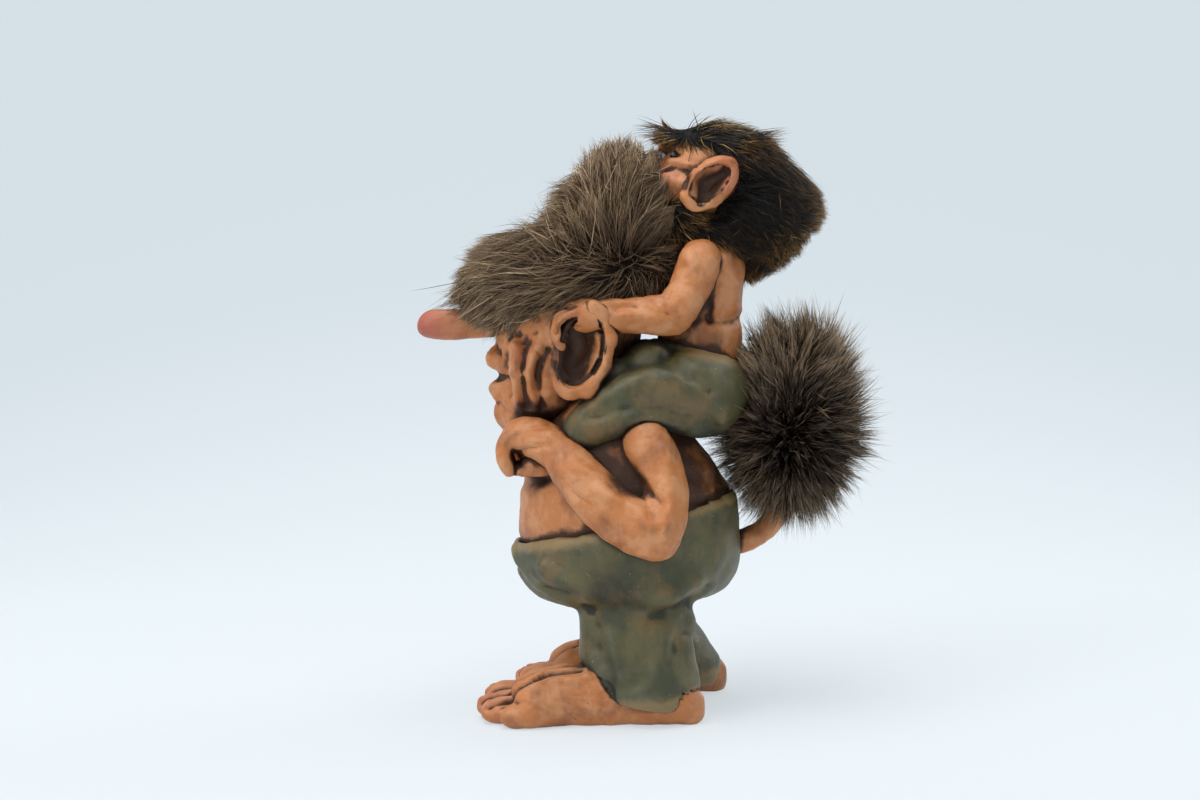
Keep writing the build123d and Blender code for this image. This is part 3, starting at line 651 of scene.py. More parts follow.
@dataclass
class FurMass:
    """A mass of long hair: a dark pelt inside, and thousands of tapered strands on it.

    Lengths are in millimetres. Flow gives the way that the hair lies at given points, and it is
    weighed against the pelt's own outward direction by lift. The tips gather into locks, and end
    between fringe inside and overhang outside the node's solid. The balls fill out the pelt, and
    where core is set they are all of it.
    """

    node: str
    material: bpy.types.Material
    slot: str
    flow: object
    length: object
    shade: object
    inset: float = 5.0
    batches: int = 3
    strands: int = 9600
    lift: float = 0.2
    scatter: float = 0.16
    droop: float = 0.06
    thick: float = 0.19
    thin: float = 0.03
    fringe: float = 3.0
    overhang: float = 5.0
    lock: float = 0.55
    lock_count: int = 40
    stray_share: float = 0.04
    seed: int = 1
    bald: object = None
    balls: tuple = ()
    tuck: tuple = ()
    core: bool = False
    rings: tuple = (0.0, 0.34, 0.70)
    shell: BVHTree = field(init=False, default=None)

    def build(self, frame: dict) -> None:
        """Makes the pelt and its strands.

        Args:
            frame: the loaded frame.
        """
        pelt = self.pelt(frame)
        for batch in range(self.batches):
            rng = np.random.default_rng(self.seed * 100 + batch)
            piece = self.hair(pelt, rng, f"{self.node}_hair_{batch + 1}")
            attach(piece, BODY)
            LOG.info("%s: %d strands", piece.name, self.strands)
        move_points(pelt.data, points_of(pelt.data) - normals_of(pelt.data) * (0.9 * MM))
        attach(pelt, BODY)
        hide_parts(self.node)

    def pelt(self, frame: dict) -> bpy.types.Object:
        """The hide that the strands grow from, which lies inside the node's solid."""
        pick(frame["nodes"][self.node])
        bpy.ops.object.duplicate()
        pelt = bpy.context.object
        for key in list(pelt.keys()):
            del pelt[key]
        pelt.name = f"{self.node}_pelt"
        pelt.parent = None
        bpy.ops.object.mode_set(mode="EDIT")
        bpy.ops.mesh.select_all(action="SELECT")
        bpy.ops.mesh.remove_doubles(threshold=0.01 * MM)
        bpy.ops.object.mode_set(mode="OBJECT")
        if self.core:
            pelt.data.clear_geometry()
        else:
            refine(pelt, "REMESH", mode="VOXEL", voxel_size=1.6 * MM, use_smooth_shade=True)
            steps = 6
            for _ in range(steps):
                move_points(pelt.data, points_of(pelt.data) - normals_of(pelt.data) * (self.inset / steps * MM))
                refine(pelt, "SMOOTH", factor=0.6, iterations=3)
        pad(pelt, self.balls)
        refine(pelt, "REMESH", mode="VOXEL", voxel_size=1.7 * MM, use_smooth_shade=True)
        push(pelt, self.tuck)
        knead(pelt.data, 5.0, 1.2)
        faces = [tuple(face.vertices) for face in pelt.data.polygons]
        self.shell = BVHTree.FromPolygons(points_of(pelt.data).tolist(), faces)
        layer = pelt.data.uv_layers.new(name="OFBake")
        layer.data.foreach_set("uv", np.tile((0.2, 0.02), len(pelt.data.loops)).astype(np.float32))
        pelt.data.materials.clear()
        pelt.data.materials.append(self.material)
        return pelt

    def roots(self, pelt: bpy.types.Object, rng: np.random.Generator) -> tuple[np.ndarray, np.ndarray]:
        """Picks where the strands grow, evenly over the pelt.

        Args:
            pelt: the hide.
            rng: the source of chance.

        Returns:
            The roots and the outward directions there.
        """
        mesh = pelt.data
        mesh.calc_loop_triangles()
        corners = np.empty(len(mesh.loop_triangles) * 3, int)
        mesh.loop_triangles.foreach_get("vertices", corners)
        points, normals = points_of(mesh), normals_of(mesh)
        triangles = points[corners].reshape(-1, 3, 3)
        sides = triangles[:, 1:] - triangles[:, :1]
        area = np.linalg.norm(np.cross(sides[:, 0], sides[:, 1]), axis=1)
        if self.bald:
            area = area * (1 - self.bald(triangles.mean(axis=1) / MM))
        chosen = rng.choice(len(area), self.strands, p=area / area.sum())
        weights = rng.dirichlet((1, 1, 1), self.strands)[:, :, None]
        ways = (normals[corners].reshape(-1, 3, 3)[chosen] * weights).sum(1)
        return (triangles[chosen] * weights).sum(1), ways / np.linalg.norm(ways, axis=1)[:, None]

    def hair(self, pelt: bpy.types.Object, rng: np.random.Generator, name: str) -> bpy.types.Object:
        """One batch of strands as a single mesh.

        Args:
            pelt: the hide.
            rng: the source of chance.
            name: the piece's name.

        Returns:
            The piece.
        """
        roots, outward = self.roots(pelt, rng)
        count = len(roots)
        waver = np.array([noise.noise_vector(Vector(row)) for row in roots / (13 * MM)])
        ways = self.flow(roots / MM) * (1 - self.lift) + outward * self.lift + waver * self.scatter
        ways += rng.normal(size=(count, 3)) * self.scatter * 0.6
        stray = rng.random(count) < self.stray_share
        ways[stray] += rng.normal(size=(stray.sum(), 3)) * 0.5
        ways = unit(ways)
        reach = self.length(roots / MM) * MM * rng.uniform(0.6, 1.12, count)
        bend = rng.normal(size=(count, 3)) * 0.10 + waver * 0.25
        bend[:, 2] -= self.droop
        start = roots - outward * (0.8 * MM)
        end = self.gathered(start, start + (ways + bend) * reach[:, None], rng)
        room = self.inset + rng.triangular(-self.fringe, 0, self.overhang, count) + stray * self.overhang * 0.6
        end = self.laid(end, room * MM)
        middle = start + ways * np.linalg.norm(end - start, axis=1)[:, None] * 0.5
        across = np.cross(ways, rng.normal(size=(count, 3)))
        across /= np.linalg.norm(across, axis=1)[:, None]
        over = np.cross(ways, across)
        thick = self.thick * rng.uniform(0.65, 1.25, count) * (1 + 0.3 * stray) * MM
        rows, alongs = [], []
        for t in self.rings:
            centre = start * (1 - t) ** 2 + middle * 2 * t * (1 - t) + end * t * t
            radius = thick * (1 - t) ** 0.7 + self.thin * MM * t
            for corner in range(3):
                angle = math.tau * corner / 3
                rows.append(centre + (across * math.cos(angle) + over * math.sin(angle)) * radius[:, None])
                alongs.append(t)
        rows.append(end)
        alongs.append(1.0)
        points = np.stack(rows, axis=1).reshape(-1, 3)
        own = np.clip(rng.random(count) * self.shade(roots / MM) + 0.3 * stray, 0, 1)
        return self.weave(points, np.array(alongs), own, name)

    def gathered(self, start: np.ndarray, end: np.ndarray, rng: np.random.Generator) -> np.ndarray:
        """Draws the tips of neighbouring strands together, so that they form locks.

        Args:
            start: the strands' roots.
            end: their tips.
            rng: the source of chance.

        Returns:
            The tips, drawn together.
        """
        leaders = rng.choice(len(start), len(start) // self.lock_count, replace=False)
        tree = KDTree(len(leaders))
        for place, leader in enumerate(leaders):
            tree.insert(start[leader].tolist(), place)
        tree.balance()
        nearest = leaders[[tree.find(row)[1] for row in start.tolist()]]
        pull = self.lock * rng.uniform(0.2, 1.0, len(start)) * (rng.random(len(start)) < 0.85)
        return end + (end[nearest] - end) * pull[:, None]

    def laid(self, end: np.ndarray, room: np.ndarray) -> np.ndarray:
        """Lays each strand down until its tip is no farther from the pelt than it has room.

        Args:
            end: the strands' tips.
            room: how far from the pelt each tip may be.

        Returns:
            The tips, laid down.
        """
        laid = end.copy()
        for i, tip in enumerate(end.tolist()):
            near, way, _, _ = self.shell.find_nearest(tip)
            if (Vector(tip) - near).dot(way) > room[i]:
                laid[i] = near + way * room[i]
        return laid

    def weave(self, points: np.ndarray, alongs: np.ndarray, own: np.ndarray, name: str) -> bpy.types.Object:
        """Joins the strands' points with faces and gives them their map.

        Args:
            points: every strand's points, ring by ring, with its tip last.
            alongs: the share of the strand's length at each of its points.
            own: each strand's own value.
            name: the piece's name.

        Returns:
            The piece.
        """
        each = len(alongs)
        faces = [(2, 1, 0)]
        for ring in range(len(self.rings) - 1):
            for corner in range(3):
                here, there = ring * 3 + corner, ring * 3 + (corner + 1) % 3
                faces += [(here, there, there + 3), (here, there + 3, here + 3)]
        top = (len(self.rings) - 1) * 3
        faces += [(top + corner, top + (corner + 1) % 3, each - 1) for corner in range(3)]
        pattern = np.array(faces)
        corners = (pattern[None] + (np.arange(len(own)) * each)[:, None, None]).reshape(-1)
        mesh = bpy.data.meshes.new(name)
        mesh.vertices.add(len(points))
        mesh.vertices.foreach_set("co", points.reshape(-1))
        mesh.loops.add(len(corners))
        mesh.loops.foreach_set("vertex_index", corners)
        mesh.polygons.add(len(corners) // 3)
        mesh.polygons.foreach_set("loop_start", np.arange(0, len(corners), 3))
        mesh.update(calc_edges=True)
        layer = mesh.uv_layers.new(name="OFBake")
        uv = np.stack([np.repeat(own, pattern.size), np.tile(alongs[pattern.reshape(-1)], len(own))], axis=1)
        layer.data.foreach_set("uv", uv.reshape(-1).astype(np.float32))
        mesh.polygons.foreach_set("use_smooth", np.ones(len(mesh.polygons), bool))
        mesh.materials.append(self.material)
        piece = bpy.data.objects.new(name, mesh)
        bpy.context.scene.collection.objects.link(piece)
        return piece


@dataclass
class Furs:
    """The three fur masses, with the way that the hair lies in each."""

    grey: bpy.types.Material
    black: bpy.types.Material
    tail: bpy.types.Material

    def crest_flow(self, at: np.ndarray) -> np.ndarray:
        """Out from a whorl beside the skull: forwards over the brow, and up in front of the rider."""
        ways = unit((at - np.array((0, -18, 178))) * (0.3, 1, 1))
        front = share_between(at[:, 1], -26, -50)[:, None]
        ways = unit(ways + np.array((0, -0.9, -0.2)) * front)
        low = (share_between(at[:, 2], 186, 172) * share_between(at[:, 1], -44, -24))[:, None]
        ways = unit(ways * (1 - low) + np.array((0, -0.85, -0.5)) * low)
        brow = (share_between(at[:, 2], 182, 168) * share_between(at[:, 1], -40, -50))[:, None]
        ways = unit(ways * (1 - brow) + np.array((0, -0.7, -0.75)) * brow)
        step = self.crest_step(at)[:, None]
        return unit(ways * (1 - step) + np.array((0, -0.75, -0.7)) * step)

    def crest_step(self, at: np.ndarray) -> np.ndarray:
        """How near a point is to the step where the crest falls to the brow."""
        return share_between(at[:, 1], -22, -34) * share_between(at[:, 2], 192, 202)

    def crest_length(self, at: np.ndarray) -> np.ndarray:
        """Long on top and in front, shorter over the ears."""
        return 32 - 13 * share_between(at[:, 2], 182, 166) - 20 * self.crest_step(at)

    def crest_bald(self, at: np.ndarray) -> np.ndarray:
        """Nothing grows over the ears and the hands that hold them."""
        return share_between(at[:, 1], -46, -40) * share_between(at[:, 2], 174, 168)

    def crest_shade(self, at: np.ndarray) -> np.ndarray:
        """Lighter towards the fringe and on top, darker low behind."""
        fringe = np.maximum(share_between(at[:, 1], -30, -66), share_between(at[:, 2], 196, 226))
        return 0.72 + 0.28 * fringe - 0.25 * share_between(at[:, 1], -22, -2) * share_between(at[:, 2], 200, 180)

    def mane_flow(self, at: np.ndarray) -> np.ndarray:
        """Back to a point behind the head, forwards over the brow, and down over the nape."""
        ways = unit(np.array((0, 78, 202)) - at)
        low = share_between(at[:, 2], 208, 192)[:, None]
        ways = unit(ways * (1 - low) + np.array((0, 0.35, -0.9)) * low)
        brow = (share_between(at[:, 1], 18, 10) * share_between(at[:, 2], 222, 230))[:, None]
        return unit(ways * (1 - brow) + np.array((0, -1.0, -0.3)) * brow)

    def mane_length(self, at: np.ndarray) -> np.ndarray:
        """Short at the brow and on the neck, long behind."""
        return 14 + 12 * share_between(at[:, 1], 24, 50)

    def mane_shade(self, at: np.ndarray) -> np.ndarray:
        """Black in the middle of each flank, with gold round the outline."""
        away = np.hypot(at[:, 1] - 36, at[:, 2] - 210)
        return 0.38 + 0.62 * share_between(away, 15, 27)

    def tuft_flow(self, at: np.ndarray) -> np.ndarray:
        """Out from the end of the tail on all sides, and rather upwards."""
        ways = unit(at - np.array((0, 58, 112)))
        ways[:, 2] += 0.2
        return unit(ways)

    def tuft_length(self, at: np.ndarray) -> np.ndarray:
        """Shorter below, long all round, and longest at the top."""
        return 24 + 8 * share_between(at[:, 2], 94, 108) + 9 * share_between(at[:, 2], 124, 144)

    def tuft_shade(self, at: np.ndarray) -> np.ndarray:
        """Black in the middle of each flank, and lighter towards the outline."""
        away = np.hypot(at[:, 1] - 58, (at[:, 2] - 114) * 0.8)
        return 0.3 + 0.7 * share_between(away, 4, 16)

    def build(self, frame: dict) -> None:
        """Makes all three."""
        FurMass("hair_crest", self.grey, "grey_fur", self.crest_flow, self.crest_length, self.crest_shade,
                inset=5.5, lift=0.2, seed=2, thick=0.18, scatter=0.26, overhang=5.0, lock=0.45, stray_share=0.09,
                bald=self.crest_bald, balls=((0, -13, 221, 6), (8, -8, 214, 6), (8, 1, 185, 6), (0, 2, 180, 8),
                                             (14, -3, 178, 6), (13, -54, 166, 6), (0, -66, 172, 6),
                                             (20, -48, 168, 5)),
                tuck=(((0, -38, 216), 19, (0, 4, -10)),)).build(frame)
        FurMass("rider_hair", self.black, "dark_fur", self.mane_flow, self.mane_length, self.mane_shade,
                inset=4.5, lift=0.38, seed=3, strands=8600, thick=0.17, scatter=0.22, overhang=2.5,
                balls=((10, 11, 197, 5), (11, 22, 196, 6), (9, 33, 194, 6), (12, 30, 204, 5), (14, 9, 205, 4),
                       (0, 40, 188, 6), (0, 40, 181, 3), (0, 15, 234, 4), (6, 16, 233, 4), (12, 20, 230, 3)),
                tuck=(((0, 30, 240), 22, (0, 0, -4)),)).build(frame)
        FurMass("tail_tuft", self.tail, "dark_fur", self.tuft_flow, self.tuft_length, self.tuft_shade,
                inset=19.0, lift=0.35, seed=4, droop=0.0, scatter=0.17, thick=0.17, fringe=14.0, overhang=11.0,
                lock=0.3, stray_share=0.07, core=True,
                balls=((0, 58, 114, 14), (0, 59, 128, 12), (0, 58, 103, 10), (0, 62, 139, 6))).build(frame)


@dataclass
class Studio:
    """The pale sweep, the soft lamps and the camera."""

    lens: float = 50.0
    camera_place: tuple = (0.688, -0.0206, 0.167)
    pitch: float = 3.33
    # The paper near the figure, and the darker paper far off, which is painted shade.
    paper_low: tuple = linear(232, 239, 244)
    paper_high: tuple = linear(213, 224, 231)
    glow_share: float = 0.6

    def build(self) -> None:
        """Makes the whole stage."""
        self.sweep()
        self.lamps()
        self.camera()

    def sweep(self) -> None:
        """A floor that curves up into the backdrop behind the figure."""
        bpy.ops.mesh.primitive_plane_add(size=8.0, location=(2.6, 0, 0))
        floor = bpy.context.object
        floor.name = "studio_sweep"
        bpy.ops.object.mode_set(mode="EDIT")
        bpy.ops.mesh.select_mode(type="EDGE")
        bpy.ops.mesh.select_all(action="DESELECT")
        bpy.ops.object.mode_set(mode="OBJECT")
        edge = min(floor.data.edges, key=lambda e: sum(floor.data.vertices[v].co.x for v in e.vertices))
        edge.select = True
        bpy.ops.object.mode_set(mode="EDIT")
        bpy.ops.mesh.extrude_region_move(TRANSFORM_OT_translate={"value": (0, 0, 4.0)})
        bpy.ops.object.mode_set(mode="OBJECT")
        corner = [e for e in floor.data.edges
                  if all(abs(floor.data.vertices[v].co.x + 4) < 0.01 and floor.data.vertices[v].co.z < 0.01
                         for v in e.vertices)][0]
        for e in floor.data.edges:
            e.select = e.index == corner.index
        bpy.ops.object.mode_set(mode="EDIT")
        bpy.ops.mesh.bevel(offset=1.1, segments=24, affect="EDGES")
        bpy.ops.object.mode_set(mode="OBJECT")
        bpy.ops.object.shade_smooth()
        bpy.ops.object.transform_apply(location=True)
        r = Recipe("pale_paper")
        path = r.node("ShaderNodeLightPath", {}, {}).outputs
        direct = Signal(r, path["Is Camera Ray"]) + path["Is Glossy Ray"] + path["Is Transmission Ray"]
        away = Signal(r, r.node("ShaderNodeVectorMath", {"operation": "LENGTH"}, {0: r.place()}).outputs["Value"])
        # Painted shade: the paper turns from its near colour to a darker one away from the figure.
        falloff_shade = r.blend(away.between(0.3, 1.15), self.paper_low, self.paper_high)
        r.coat(Base_Color=self.paper_low, Roughness=0.8)
        glow = r.node("ShaderNodeEmission", {}, {"Color": falloff_shade, "Strength": 1.0})
        share = self.glow_share + away.between(0.35, 1.0) * (1 - self.glow_share)
        mixed = r.node("ShaderNodeMixShader", {}, {0: direct * share, 1: r.shader.outputs[0], 2: glow.outputs[0]})
        r.feed(r.tree.nodes["Material Output"].inputs["Surface"], mixed.outputs[0])
        floor.data.materials.append(r.material)

    def lamps(self) -> None:
        """A broad top light, a key from the front and a rim light from behind."""
        world = bpy.data.worlds.new("studio_air")
        bpy.context.scene.world = world
        world.use_nodes = True
        tree = world.node_tree
        back = tree.nodes["Background"]
        back.inputs["Color"].default_value = self.paper_high
        path = tree.nodes.new("ShaderNodeLightPath")
        strength = tree.nodes.new("ShaderNodeMapRange")
        strength.inputs["To Min"].default_value = 0.44
        strength.inputs["To Max"].default_value = 1.0
        shown = tree.nodes.new("ShaderNodeMath")
        mirrored = tree.nodes.new("ShaderNodeMath")
        tree.links.new(path.outputs["Is Glossy Ray"], mirrored.inputs[0])
        tree.links.new(path.outputs["Is Transmission Ray"], mirrored.inputs[1])
        tree.links.new(path.outputs["Is Camera Ray"], shown.inputs[0])
        tree.links.new(mirrored.outputs[0], shown.inputs[1])
        tree.links.new(shown.outputs[0], strength.inputs["Value"])
        tree.links.new(strength.outputs[0], back.inputs["Strength"])
        for name, place, size, power in (
            ("top_box", (0.2, -0.2, 1.3), 1.1, 13.0),
            ("key_box", (0.8, -1.1, 0.9), 0.7, 7.0),
            ("rim_box", (-0.5, 1.0, 0.9), 0.6, 5.0),
        ):
            bpy.ops.object.light_add(type="AREA", location=place)
            lamp = bpy.context.object
            lamp.name = name
            lamp.data.size = size
            lamp.data.energy = power
            lamp.data.color = (1.0, 0.99, 0.97)
            way = Vector((0, 0, 0.12)) - Vector(place)
            lamp.rotation_euler = way.to_track_quat("-Z", "Y").to_euler()

    def camera(self) -> None:
        """The photograph's place and lens."""
        bpy.ops.object.camera_add(location=self.camera_place)
        camera = bpy.context.object
        camera.rotation_euler = (math.radians(90 - self.pitch), 0, math.radians(90))
        camera.data.lens = self.lens
        camera.data.sensor_width = 36.0
        camera.data.clip_start = 0.01
        bpy.context.scene.camera = camera


def lines(view: View, radius: float, depth: float, *paths: tuple, side: float = 1.0, both: bool = True) -> tuple:
    """Several strokes of one tool, each given by its own path."""
    return tuple(Stroke(view, path, radius, depth, side, both) for path in paths)


@dataclass
class BigTroll:
    """The castings of the large troll, with the strokes that model each of them."""

    skin: bpy.types.Material
    cloth: bpy.types.Material
    glass: bpy.types.Material

    def face(self) -> tuple:
        """Cheek wrinkles, the mouth, the chin and the pouches round the eyes."""
        return (
            lines(View.SIDE, 3.0, -2.2, ((-57, 152), (-59, 141), (-57, 129)), ((-49, 152), (-52, 140), (-50, 125)),
                  ((-41, 148), (-45, 137), (-44, 125)))
            + lines(View.SIDE, 3.4, 1.7, ((-53, 150), (-55.5, 139), (-53, 127)), ((-45, 149), (-48.5, 138), (-47, 124)))
            + lines(View.SIDE, 2.4, -1.4, ((-62, 126), (-55, 122), (-48, 121)), ((-60, 156), (-54, 153.5), (-46, 156)),
                    ((-58, 163), (-51, 165.5), (-45, 162)))
            + lines(View.SIDE, 3.0, 1.6, ((-57, 167), (-50, 169), (-44, 165)), ((-58, 150), (-52, 148)))
            + lines(View.FRONT, 3.0, -2.6, ((-13, 136), (-6, 137.5), (0, 137), (6, 137.5), (13, 136)), side=-1, both=False)
            + lines(View.FRONT, 3.4, -1.4, ((5, 151), (11, 147), (15, 139), (15, 131)), side=-1)
        )

    def foot(self, back: float) -> tuple:
        """Tendons, toe roots, nails and ankle creases of a foot that stands that far back."""
        def at(path: tuple) -> tuple:
            return tuple((x, y + back) for x, y in path)

        tendons = (((17.5, -52), (20, -34), (24, -16)), ((26, -56), (26.5, -34), (27, -16)),
                   ((33.5, -54), (32, -34), (30, -16)), ((40, -46), (36.5, -32), (33, -16)))
        webs = (((21.5, -70), (22, -54), (24.5, -30)), ((29, -72), (29, -56), (28.5, -28)),
                ((36.5, -70), (36, -54), (32, -28)))
        nails = ((16.5, -64), (24.8, -65.5), (32.5, -64), (40.0, -59))
        side_lines = (((-60, 8), (-50, 10), (-42, 8)), ((-34, 14), (-18, 12), (-2, 14)), ((-22, 9), (-6, 7), (8, 9)),
                      ((-42, 14), (-35, 9), (-30, 3)), ((-34, 12), (-28, 7), (-24, 3)), ((-26, 10), (-21, 5), (-18, 2)))
        strokes = tuple(Stroke(View.TOP, at(path), 3.0, 1.5, 1, True) for path in tendons)
        strokes += tuple(Stroke(View.TOP, at(path), 2.0, -2.3, 1, True) for path in webs)
        strokes += tuple(Stroke(View.TOP, at((nail,)), 3.6, -1.2, 1, True) for nail in nails)
        strokes += tuple(Stroke(View.TOP, at((nail,)), 2.4, 1.3, 1, True) for nail in nails)
        strokes += tuple(Stroke(View.SIDE, at_side, 1.4, -0.6, 1, True)
                         for at_side in (tuple((y + back, z) for y, z in path) for path in side_lines))
        return strokes

    def arm(self) -> tuple:
        """Elbow creases, forearm muscles, knuckles and tendons."""
        return (
            lines(View.SIDE, 4.5, 1.3, ((-2, 82), (-16, 92), (-30, 104)), ((4, 110), (7, 96), (5, 84)))
            + lines(View.SIDE, 3.2, -1.2, ((-14, 78), (-24, 88), (-36, 99)), ((-12, 104), (-4, 96), (4, 90)))
            + lines(View.SIDE, 2.4, -1.0, ((-40, 119), (-50, 117), (-58, 111)), ((-40, 112), (-48, 110), (-54, 106)),
                    ((0, 74), (6, 71), (10, 75)))
            + lines(View.FRONT, 2.0, -1.2, ((13.2, 118), (13.2, 104)), ((18.7, 118), (18.7, 104)), ((8, 118), (8, 106)),
                    side=-1)
        )

    def belly(self) -> tuple:
        """Folds of the belly, the navel and the creases of the back."""
        return (
            lines(View.FRONT, 3.0, -2.4, ((0, 84),), side=-1, both=False)
            + lines(View.FRONT, 4.5, -1.5, ((-22, 96), (-8, 93), (8, 93), (22, 96)), ((-14, 108), (0, 105), (14, 108)),
                    side=-1, both=False)
            + lines(View.SIDE, 4.5, -1.6, ((-44, 98), (-34, 95), (-22, 97)), ((14, 98), (24, 95), (33, 97)),
                    ((12, 88), (22, 86), (32, 91)))
            + lines(View.FRONT, 3.6, -1.8, ((0, 128), (0, 112), (0, 96)), side=1, both=False)
        )

    def trouser_folds(self) -> tuple:
        """Folds that run from the crotch, behind the knees and above the hems."""
        return (
            lines(View.SIDE, 4.0, -2.4, ((0, 43), (7, 45.5), (15, 50), (22, 54)), ((-42, 54), (-32, 50), (-24, 45)))
            + lines(View.SIDE, 6.0, 2.2, ((2, 51), (10, 54), (18, 58)), ((-44, 61), (-34, 57), (-26, 53)))
            + lines(View.SIDE, 6.0, -1.6, ((-22, 38), (-20, 26)), ((12, 40), (10, 30)))
            + lines(View.SIDE, 5.0, 1.4, ((-16, 34), (-12, 20)), ((4, 36), (2, 22)), ((20, 22), (16, 14)))
            + lines(View.SIDE, 4.5, -0.8, ((-18, 15), (-6, 18), (8, 14)))
            + lines(View.FRONT, 4.4, -2.2, ((2, 60), (12, 52), (22, 48)), ((4, 48), (12, 42), (20, 40)), side=-1)
            + lines(View.FRONT, 4.4, 1.6, ((6, 66), (16, 60), (26, 58)), side=-1)
            + lines(View.FRONT, 4.4, -2.6, ((2, 66), (2, 54), (0, 44)), side=1, both=False)
            + lines(View.FRONT, 5.0, -1.3, ((30, 48), (22, 44), (8, 46)), ((28, 34), (22, 29), (14, 31)), side=1)
        )

    def cloth_rim(self, at: np.ndarray) -> np.ndarray:
        """The worn paint on the waistband and the hems."""
        waist = 80 + 0.236 * (at[:, 1] + 9.6)
        band = share_between(at[:, 2] - waist, -7, -2) * share_between(at[:, 2] - waist, 5, 2)
        return np.maximum(band, share_between(at[:, 2], 16, 9)) * 0.85

    def castings(self) -> list[Casting]:
        """Every casting of the large troll."""
        ear = (lines(View.SIDE, 7.5, -3.0, ((-31, 157), (-29, 148), (-32, 139)))
               + lines(View.SIDE, 4.5, -4.2, ((-37, 167), (-39, 158), (-41, 148), (-40, 138)))
               + lines(View.SIDE, 4.0, 2.2, ((-24, 166), (-16, 160), (-14, 150), (-17, 140), (-26, 130)))
               + lines(View.SIDE, 2.6, -1.6, ((-20, 158), (-18.5, 149), (-22, 139))))
        # The hollows, crook, flanks, jaw, trouser and ankle spots are painted shade, where parts overlap or turn from
        # the light; knuckles and toes are blush.
        hollows = ((33, -31, 150, 12, 1.0), (33, -32, 141, 10, 1.0), (30, -41, 146, 8, 0.8))
        knuckles = ((17, -58, 113, 8, 0.4), (-17, -58, 113, 8, 0.4), (47, 3, 72, 9, 0.25), (-47, 3, 72, 9, 0.25))
        crook = ((44, -11, 98, 11, 0.85), (-44, -11, 98, 11, 0.85), (34, 2, 112, 9, 0.6), (-34, 2, 112, 9, 0.6), (24, -56, 103, 8, 0.8), (-24, -56, 103, 8, 0.8))
        flanks = ((34, 14, 98, 26, 1.0), (-34, 14, 98, 26, 1.0), (14, 33, 98, 22, 0.7), (-14, 33, 98, 22, 0.7), (34, -18, 100, 18, 0.7), (-34, -18, 100, 18, 0.7),
                  (18, -46, 96, 13, 0.45), (-18, -46, 96, 13, 0.45))
        jaw = ((27, -30, 132, 13, 0.85), (-27, -30, 132, 13, 0.85), (20, -50, 121, 10, 0.8), (-20, -50, 121, 10, 0.8),
               (18, -56, 160, 8, 0.7), (-18, -56, 160, 8, 0.7), (0, -66, 137.5, 7, 0.9))
        toes = ((28, -64, 10, 15, 0.35), (-28, -51, 10, 15, 0.35))
        return [
            Casting("torso", self.skin, "skin", 1.25, strokes=self.belly(), shade_spots=flanks,
                    lumps=((9, 0.7, (1, 1, 1), False), (3, 0.3, (1, 1, 1), False))),
            Casting("trousers", self.cloth, "trouser_paint", 1.2, strokes=self.trouser_folds(), rim=self.cloth_rim,
                    shade_spots=((42, -16, 53, 20, 0.55), (-42, -16, 53, 20, 0.55), (38, -22, 44, 10, 0.5)),
                    lumps=((24, 2.0, (1, 1, 1.2), False), (9, 0.6, (1, 1, 1.2), False), (2.6, 0.12, (1, 1, 1), False))),
            Casting("head", self.skin, "skin", 0.9, strokes=self.face(), shade_spots=jaw,
                    padding=((4, -62, 144.5, 5.6), (4, -61, 131.5, 5.2), (0, -58, 122, 6.5), (20, -49, 145, 8)),
                    lumps=((6, 0.7, (1.2, 1.2, 0.7), True), (2.4, 0.3, (1, 1, 1), False)),
                    blushes=((24, -50, 146, 9, 0.35), (-24, -50, 146, 9, 0.35), (0, -66, 144, 6, 0.3))),
            Casting("nose", self.skin, "skin", 0.8, blushes=((0, -99, 157.5, 27, 0.95),),
                    lumps=((7, 0.5, (1, 1, 1), False), (2, 0.12, (1, 1, 1), False))),
            Casting("left_ear", self.skin, "skin", 0.75, strokes=ear, shade_spots=hollows),
            Casting("right_ear", self.skin, "skin", 0.75, strokes=ear,
                    shade_spots=tuple((-x, y, z, radius, amount) for x, y, z, radius, amount in hollows)),
            Casting("left_arm", self.skin, "skin", 0.8, strokes=self.arm(), blushes=knuckles, shade_spots=crook),
            Casting("right_arm", self.skin, "skin", 0.8, strokes=self.arm(), blushes=knuckles, shade_spots=crook),
            Casting("left_foot", self.skin, "skin", 0.75, strokes=self.foot(0.0), blushes=toes, shade_spots=((29, -6, 19, 10, 0.8),),
                    lumps=((8, 0.5, (1, 1, 1), False), (2.2, 0.22, (1, 0.5, 1), False))),
            Casting("right_foot", self.skin, "skin", 0.75, strokes=self.foot(13.0), blushes=toes, shade_spots=((-29, 7, 19, 10, 0.8),),
                    lumps=((8, 0.5, (1, 1, 1), False), (2.2, 0.22, (1, 0.5, 1), False))),
            Casting("tail_stem", self.skin, "skin", 0.8, lumps=((4, 0.4, (1, 1, 1), False), (1.6, 0.15, (1, 1, 1), False))),
            Casting("left_eye", self.glass, "eye_glass", 0.35, lumps=()),
            Casting("right_eye", self.glass, "eye_glass", 0.35, lumps=()),
        ]


